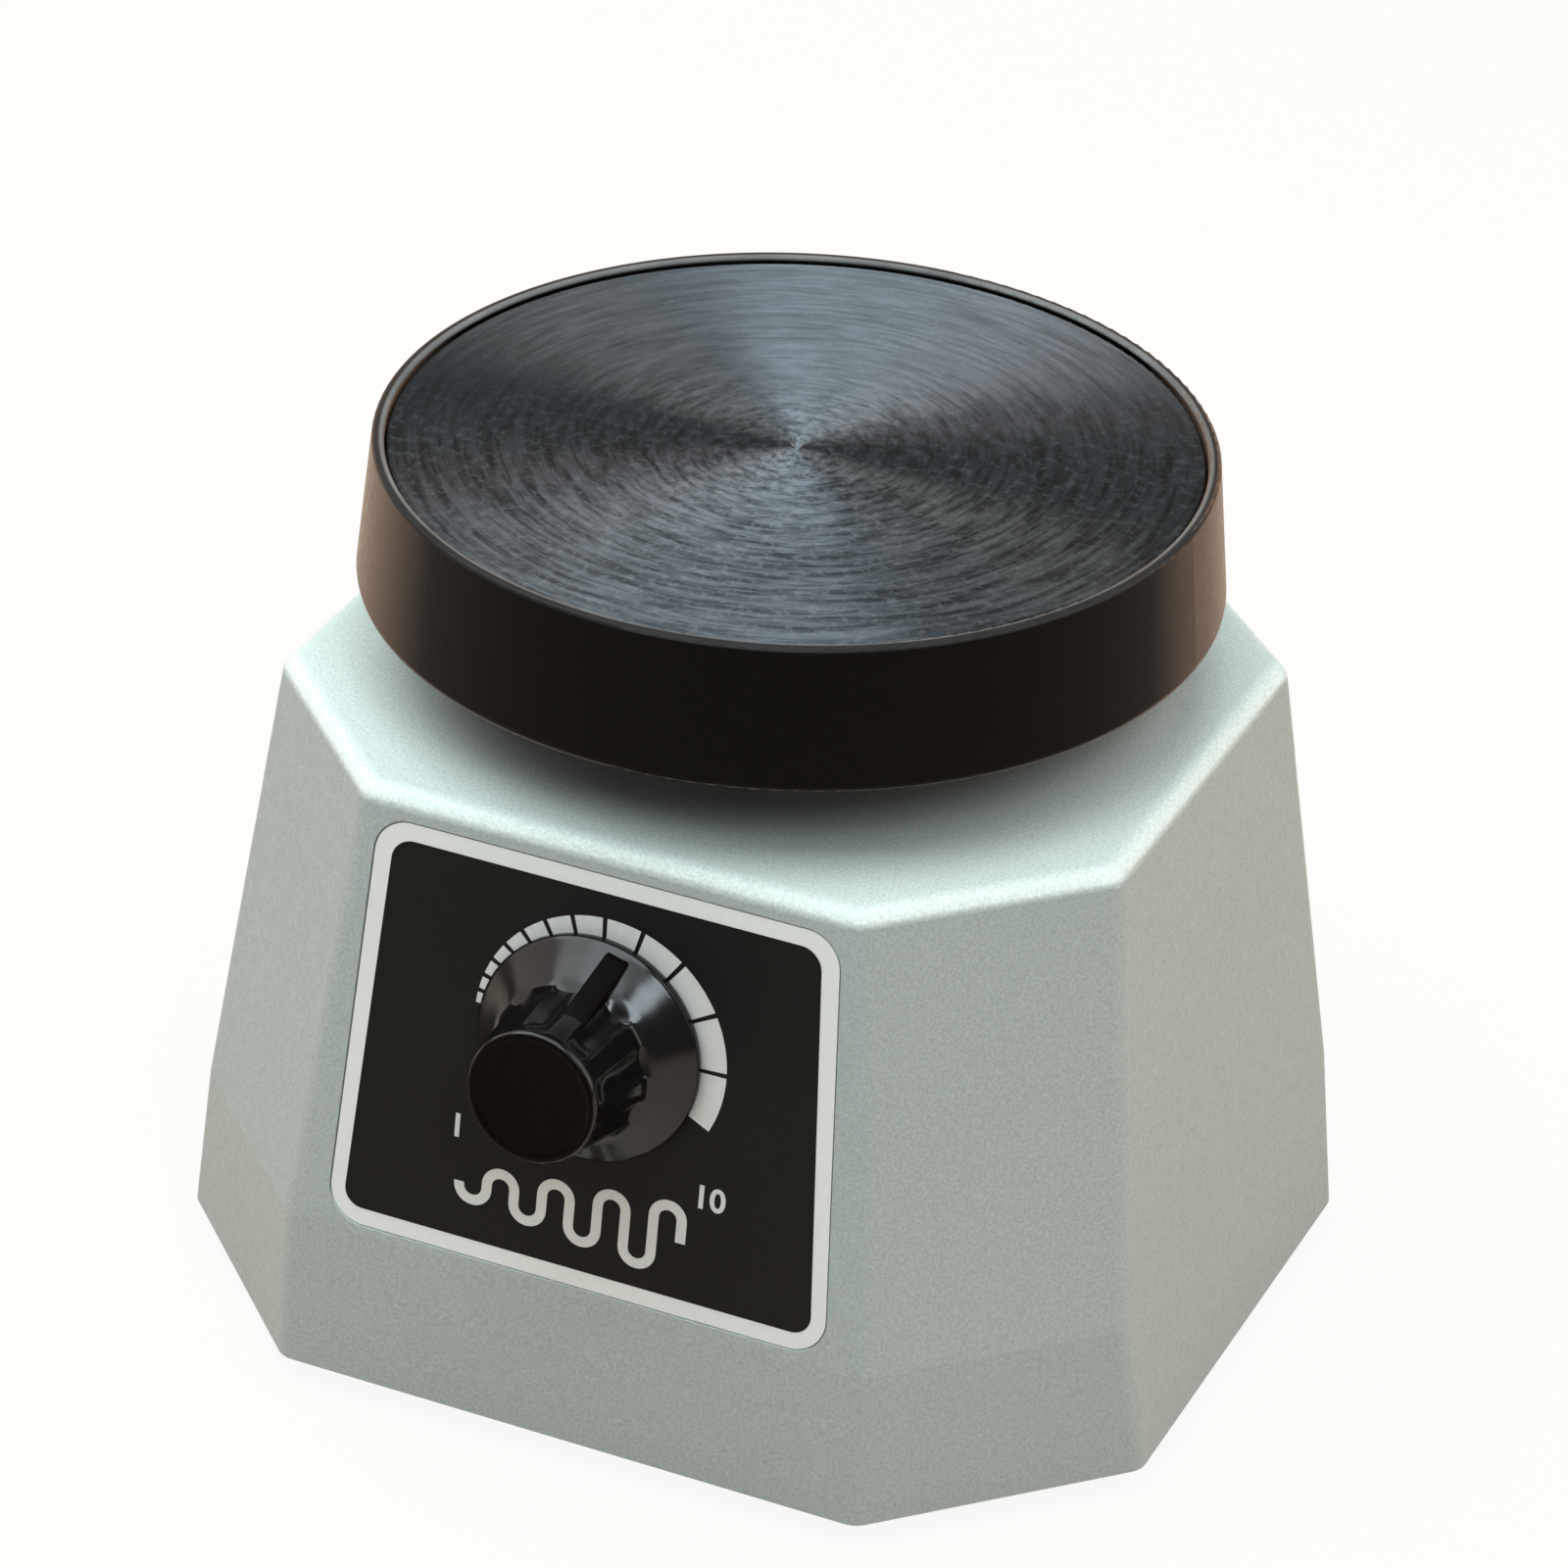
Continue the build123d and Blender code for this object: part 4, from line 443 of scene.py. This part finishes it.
def numeral(text, x, y):
    """A plain printed number, centred at a point of the face."""
    words = bpy.data.curves.new("numeral", "FONT")
    words.body = text
    words.size = NUMERAL_SIZE
    words.align_x, words.align_y = "CENTER", "CENTER"
    words.resolution_u = 6
    words.offset = NUMERAL_WEIGHT
    holder = bpy.data.objects.new("numeral", words)
    bpy.context.scene.collection.objects.link(holder)
    bpy.context.view_layer.update()
    flat = bpy.data.meshes.new_from_object(holder.evaluated_get(bpy.context.evaluated_depsgraph_get()))
    shape = bmesh.new()
    shape.from_mesh(flat)
    bpy.data.objects.remove(holder)
    bpy.data.curves.remove(words)
    bpy.data.meshes.remove(flat)
    print_piece("numeral_" + text, shape, print_white, x, y)


label_silver = finish("label_silver", (0.68, 0.69, 0.68), (0.74, 0.75, 0.74), (0.34, 0.46), 1.2, 0.006)
print_black = finish(
    "print_black", (0.005, 0.0042, 0.004), (0.009, 0.008, 0.0075), (0.45, 0.6), 0.9, 0.006,
    Specular_IOR_Level=0.15,
)
print_white = finish("print_white", (0.66, 0.66, 0.64), (0.56, 0.56, 0.55), (0.45, 0.6), 0.8, 0.004)
dress(label_silver, "control_label")

field = bmesh.new()
corners = [
    field.verts.new((width / 2, end * FIELD_HEIGHT / 2, 0))
    for width, end in ((-FIELD_BOTTOM, -1), (FIELD_BOTTOM, -1), (FIELD_TOP, 1), (-FIELD_TOP, 1))
]
field.faces.new(corners)
bmesh.ops.bevel(
    field, geom=corners, offset=FIELD_CORNER, affect="VERTICES", segments=10, profile=0.5, material=-1
)
print_piece("label_field", field, print_black, lift=LABEL_LIFT)

marks = bmesh.new()
mark_start = SCALE_START
for step, share in enumerate(SCALE_SHARES):
    width = MARK_NARROW + MARK_WIDENING * (step / (len(SCALE_SHARES) - 1)) ** MARK_POWER
    edge = [
        marks.verts.new((radius * sin(mark_start), radius * cos(mark_start), 0))
        for radius in (SCALE_RADIUS, SCALE_RADIUS - width)
    ]
    line = marks.edges.new(edge)
    swept = radians(share) - SCALE_GAP
    bmesh.ops.spin(marks, geom=[*edge, line], axis=(0, 0, -1), cent=(0, 0, 0), steps=12, angle=swept)
    mark_start += radians(share)
print_piece("scale_marks", marks, print_white, SCALE_RIGHT, SCALE_UP)

numeral("1", *FIRST_NUMERAL_AT)
numeral("10", *LAST_NUMERAL_AT)

wave = bmesh.new()
ends = [wave.verts.new((WAVE_LEFT + side * WAVE_LINE / 2, WAVE_MIDDLE, 0)) for side in (-1, 1)]
stroke = wave.edges.new(ends)
pen_y = WAVE_MIDDLE
for step in range(WAVE_RUNS + 1):
    way = 1 if step % 2 else -1
    reached = WAVE_MIDDLE + way * (WAVE_FIRST + WAVE_GROWTH * step) * (step < WAVE_RUNS)
    drawn = bmesh.ops.extrude_edge_only(wave, edges=[stroke])["geom"]
    ends = [part for part in drawn if isinstance(part, bmesh.types.BMVert)]
    bmesh.ops.translate(wave, vec=(0, reached - pen_y, 0), verts=ends)
    pen_y = reached
    if step == WAVE_RUNS:
        break
    drawn_edges = [part for part in drawn if isinstance(part, bmesh.types.BMEdge)]
    stroke = next(part for part in drawn_edges if set(part.verts) == set(ends))
    turn_at = (WAVE_LEFT + (step + 0.5) * WAVE_PITCH, pen_y, 0)
    bend = bmesh.ops.spin(wave, geom=[*ends, stroke], cent=turn_at, axis=(0, 0, -way), angle=pi, steps=14)
    stroke = next(part for part in bend["geom_last"] if isinstance(part, bmesh.types.BMEdge))
print_piece("wave_mark", wave, print_white)

# Knob: a glossy black moulding with a flared skirt, a sloping pointer fin and a
# fluted grip, pushed on the shaft and held by a set screw.
KNOB_PROFILE = (
    (7.0, 3.7), (7.0, 0.3), (13.8, 0.3), (14.1, 0.45), (14.2, 0.8), (14.2, 1.35), (14.05, 1.65), (13.7, 1.95),
    (12.8, 2.7), (11.8, 3.6), (10.9, 4.5), (10.3, 5.1), (9.85, 5.5), (9.6, 6.0), (9.4, 7.2), (9.0, 10.0),
    (8.65, 12.6), (8.45, 14.0), (8.35, 14.8), (8.25, 15.6), (8.2, 16.1), (8.1, 16.45), (7.95, 16.7),
    (7.75, 16.85), (7.5, 16.9), (7.3, 16.8), (7.15, 16.7), (6.9, 16.66), (0.0, 16.66),
)
KNOB_SIDES, CAP_EDGE, POINTER_TURN = 288, 16.63 * MM, radians(14)
FLUTES, FLUTE_DEPTH, FLUTE_HALF, GRIP_INSIDE = 9, 0.85 * MM, radians(12), 7.6 * MM
FLUTE_FOOT, FLUTE_HEAD, FOOT_FADE, HEAD_FADE = 5.3 * MM, 15.7 * MM, 0.9 * MM, 1.6 * MM
FIN_WIDTH, FIN_INSIDE, FIN_TIP, FIN_EDGE = 3.0 * MM, 7.6 * MM, 13.4 * MM, 0.3 * MM
FIN_FOOT, FIN_TOP_INSIDE, FIN_TOP_TIP = 1.8 * MM, 13.4 * MM, 2.75 * MM
knob_gloss = finish(
    "knob_gloss", (0.003, 0.0022, 0.002), (0.005, 0.004, 0.0035), (0.13, 0.2), 4.0, 0.004,
    Specular_IOR_Level=0.45,
)
knob_cap = finish(
    "knob_cap", (0.0018, 0.0008, 0.0006), (0.005, 0.0035, 0.003), (0.32, 0.42), 1.2, 0.005,
    Specular_IOR_Level=0.04,
)
knob = bmesh.new()
outline = [knob.verts.new((radius * MM, 0, lift * MM)) for radius, lift in KNOB_PROFILE]
lines = [knob.edges.new(pair) for pair in zip(outline, outline[1:])]
bmesh.ops.spin(
    knob, geom=[*outline, *lines], axis=(0, 0, 1), cent=(0, 0, 0), steps=KNOB_SIDES, angle=tau, use_merge=True
)
bmesh.ops.remove_doubles(knob, verts=knob.verts[:], dist=1e-6)
for part in knob.faces:
    part.material_index = int(all(vert.co.z > CAP_EDGE for vert in part.verts))
for vert in knob.verts:
    reach = hypot(vert.co.x, vert.co.y)
    if not FLUTE_FOOT < vert.co.z < FLUTE_HEAD or reach < GRIP_INSIDE:
        continue
    off_flute = ((atan2(vert.co.x, vert.co.y) / tau * FLUTES) % 1 - 0.5) * tau / FLUTES
    if abs(off_flute) < FLUTE_HALF:
        fade = min(1, (vert.co.z - FLUTE_FOOT) / FOOT_FADE, (FLUTE_HEAD - vert.co.z) / HEAD_FADE)
        bite = FLUTE_DEPTH * (1 - (off_flute / FLUTE_HALF) ** 2) * fade
        vert.co.x *= (reach - bite) / reach
        vert.co.y *= (reach - bite) / reach
turned_faces = set(knob.faces)
fin = bmesh.ops.create_cube(knob, size=1.0)["verts"]
for vert in fin:
    inner, low = vert.co.y < 0, vert.co.z < 0
    top = FIN_TOP_INSIDE if inner else FIN_TOP_TIP
    vert.co = (vert.co.x * FIN_WIDTH, FIN_INSIDE if inner else FIN_TIP, FIN_FOOT if low else top)
fin_edges = {edge for vert in fin for edge in vert.link_edges}
bmesh.ops.bevel(
    knob, geom=list(fin_edges), offset=FIN_EDGE, affect="EDGES", segments=3, profile=0.5, material=-1
)
for part in knob.faces:
    if part not in turned_faces:
        part.material_index = 1
bmesh.ops.recalc_face_normals(knob, faces=knob.faces[:])
knob.transform(face @ Matrix.Translation((0, DIAL_RISE, 0)) @ Matrix.Rotation(-POINTER_TURN, 4, "Z"))
moulding = place_piece("knob_moulding", knob, "control_knob", knob_gloss, ["knob"])
moulding.data.materials.append(knob_cap)

# Dust boot: a black rubber bellows that closes the hole in the housing's top
# and hugs the stem, so no plaster runs inside.
BOOT_PROFILE = (
    (22.7, 77.2), (24.7, 77.2), (24.7, 81.2), (28.6, 81.2), (29.0, 81.6), (29.0, 82.3), (28.6, 82.7),
    (24.6, 82.7), (23.6, 83.4), (21.6, 86.6), (20.6, 87.6), (19.4, 87.2), (18.0, 85.6), (16.9, 85.0),
    (15.8, 85.6), (14.2, 89.0), (13.2, 90.6), (12.2, 91.0), (11.7, 91.6), (11.7, 94.5), (11.3, 94.9),
    (9.3, 94.9), (9.3, 91.0), (11.2, 89.5), (12.6, 87.9), (14.2, 84.6), (15.6, 83.4), (17.4, 83.2),
    (19.2, 84.6), (20.4, 85.8), (21.4, 84.4), (22.6, 82.4),
)
BOOT_SIDES, FOLDS_FOOT, FOLDS_TOP = 128, 83.4 * MM, 91.0 * MM
boot_rubber = finish("boot_rubber", (0.014, 0.014, 0.015), (0.028, 0.027, 0.027), (0.5, 0.75), 0.8, 0.03)
boot = bmesh.new()
outline = [boot.verts.new((radius * MM, 0, lift * MM)) for radius, lift in BOOT_PROFILE]
lines = [boot.edges.new(pair) for pair in zip(outline, outline[1:] + outline[:1])]
bmesh.ops.spin(
    boot, geom=[*outline, *lines], axis=(0, 0, 1), cent=(0, 0, 0), steps=BOOT_SIDES, angle=tau, use_merge=True
)
bmesh.ops.recalc_face_normals(boot, faces=boot.faces[:])
bellows = place_piece("dust_bellows", boot, None, boot_rubber, ["dust_boot"])
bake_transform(bellows)

# Table plate: a lathe turned aluminium disc, dyed black, whose fine rings throw
# the light back in fans; it lies below the rim's lip and is scuffed in front, and its front is darkened as
# painted shade.
PLATE_DARK, PLATE_PALE, SCUFF = (0.075, 0.084, 0.092), (0.22, 0.24, 0.262), (0.34, 0.36, 0.38)
PLATE_FRONT = (0.39, -0.92, 0)
SCRATCH_SCALE, SCRATCH_DEPTH, SCUFF_SCALE, GROOVE_PITCH = 4.0, 260.0, 700.0, 0.42 * MM
ANISOTROPY, SCUFFED_ANISOTROPY, SCUFF_SHARE, GROOVE_SHARE = 0.97, 0.8, 0.8, 0.25
# The middle value both ends the rise of the wear and starts the painted shade on the front; the last one ends
# that shade.
WEAR_START, WEAR_FULL_SHADE_START, FRONT_SHADE_END = -18.0 * MM, 2.0 * MM, 30.0 * MM
LEAST_WEAR, FRONT_SHADE, UNWORN_STREAK = 0.25, 0.62, 0.6
PLATE_GLOSS, PLATE_RELIEF = (0.34, 0.48), 0.02 * MM
turned_black = plain("turned_black", PLATE_PALE, Metallic=1.0, Anisotropic_Rotation=0.25)
tree = turned_black.node_tree
place = add(tree, "TexCoord").outputs["Object"]
flat, reach = from_axis(tree, place)
outward = add(tree, "VectorMath", {0: flat}, operation="NORMALIZE").outputs[0]
out_x, out_y, _ = add(tree, "SeparateXYZ", {0: outward}).outputs
depth = work_out(tree, "MULTIPLY", reach, SCRATCH_DEPTH)
swirl = add(tree, "CombineXYZ", {0: out_x, 1: out_y, 2: depth}).outputs[0]
scratches = noise(tree, swirl, SCRATCH_SCALE, 5.0, 0.65)
groove = work_out(tree, "SINE", work_out(tree, "MULTIPLY", reach, tau / GROOVE_PITCH))
frontness = add(tree, "VectorMath", {0: place, 1: PLATE_FRONT}, operation="DOT_PRODUCT").outputs["Value"]
marked = spread(tree, frontness, WEAR_START, WEAR_FULL_SHADE_START, LEAST_WEAR, 1.0)
# Painted shade: the front of the disc is darkened, standing in for its dimmer reflection there.
front_painted_shade = spread(tree, frontness, WEAR_FULL_SHADE_START, FRONT_SHADE_END, 1.0, FRONT_SHADE)
contrast = spread(tree, scratches, 0.38, 0.62)
streaks = add(tree, "Mix", {0: marked, 2: UNWORN_STREAK, 3: contrast}).outputs[0]
flecks = spread(tree, noise(tree, place, SCUFF_SCALE, 4.0, 0.7), 0.5, 0.7, 0.0, SCUFF_SHARE)
scuffed = work_out(tree, "MULTIPLY", flecks, marked)
worn = mix(tree, scuffed, mix(tree, streaks, PLATE_DARK, PLATE_PALE), SCUFF)
relief = work_out(tree, "MULTIPLY_ADD", groove, GROOVE_SHARE, scratches)
grain = add(tree, "Tangent", direction_type="RADIAL", axis="Z")
feed(
    turned_black,
    # The painted front shade is multiplied into the metal's colour.
    Base_Color=mix(tree, 1.0, worn, front_painted_shade, "MULTIPLY"),
    Anisotropic=spread(tree, scuffed, 0.0, SCUFF_SHARE, ANISOTROPY, SCUFFED_ANISOTROPY),
    Roughness=spread(tree, scratches, CLOUD_LOW, CLOUD_HIGH, *PLATE_GLOSS),
    Normal=relief_of(tree, relief, PLATE_RELIEF, strength=0.5),
    Tangent=grain.outputs[0],
)
dress(turned_black, "table_plate")

# Table rim: a black moulded ring with a thin raised lip, a pale ring on the lip's inner top
# as a painted highlight, a warm painted reflection where its faces are seen edge on, and
# a skirt that keeps plaster off the housing, screwed to the plate from below.
# Where the painted highlight lies on the lip's inner top, and how it fades outward.
HIGHLIGHT_LOW, HIGHLIGHT_TOP, HIGHLIGHT_INSIDE, HIGHLIGHT_OUTSIDE = 110.3 * MM, 110.6 * MM, 49.25 * MM, 49.55 * MM
HIGHLIGHT_REST, REFLECTION_START, REFLECTION_FULL = 0.12, 0.5, 0.95
# The colours of the lip's painted highlight, and last the warm painted reflection colour.
HIGHLIGHT_DARK, HIGHLIGHT_PALE, HIGHLIGHT_SCALE, PAINTED_REFLECTION = (0.06, 0.06, 0.06), (0.24, 0.24, 0.24), 120.0, (0.19, 0.115, 0.075)
rim_black = finish(
    "rim_black", (0.001, 0.0006, 0.0005), (0.003, 0.0022, 0.0018), (0.26, 0.36), 1.2, 0.01,
    Specular_IOR_Level=0.08,
)
tree = rim_black.node_tree
moulded = tree.nodes["Principled BSDF"].inputs["Base Color"].links[0].from_socket
place = add(tree, "TexCoord").outputs["Object"]
_, reach = from_axis(tree, place)
height = add(tree, "SeparateXYZ", {0: place}).outputs["Z"]
on_top = spread(tree, height, HIGHLIGHT_LOW, HIGHLIGHT_TOP)
inside = spread(tree, reach, HIGHLIGHT_INSIDE, HIGHLIGHT_OUTSIDE, 1.0, HIGHLIGHT_REST)
lip = work_out(tree, "MULTIPLY", on_top, inside)
# Painted highlight: a pale ring on the lip, standing in for the light it catches.
lip_highlight = mix(tree, noise(tree, place, HIGHLIGHT_SCALE, 4.0), HIGHLIGHT_DARK, HIGHLIGHT_PALE)
# Painted reflection: faces seen edge on turn warm brown, standing in for a reflected warm surrounding.
glance = add(tree, "LayerWeight", {"Blend": 0.5}).outputs["Facing"]
reflection_share = spread(tree, glance, REFLECTION_START, REFLECTION_FULL)
feed(rim_black, Base_Color=mix(tree, reflection_share, mix(tree, lip, moulded, lip_highlight), PAINTED_REFLECTION))
dress(rim_black, "table_rim")

# Cable gland: a black nylon gland in the middle of the back, its dome nut
# squeezing a rubber seal, and the earth stud beside it.
gland_nylon = finish("gland_nylon", (0.014, 0.014, 0.015), (0.022, 0.022, 0.022), (0.36, 0.5), 0.9, 0.01)
dress(gland_nylon, "gland_body", "gland_dome_nut", "gland_lock_nut")
dress(foot_rubber, "gland_seal")
dress(zinc_screw, "earth_stud")
dress(insert_brass, "earth_nut")
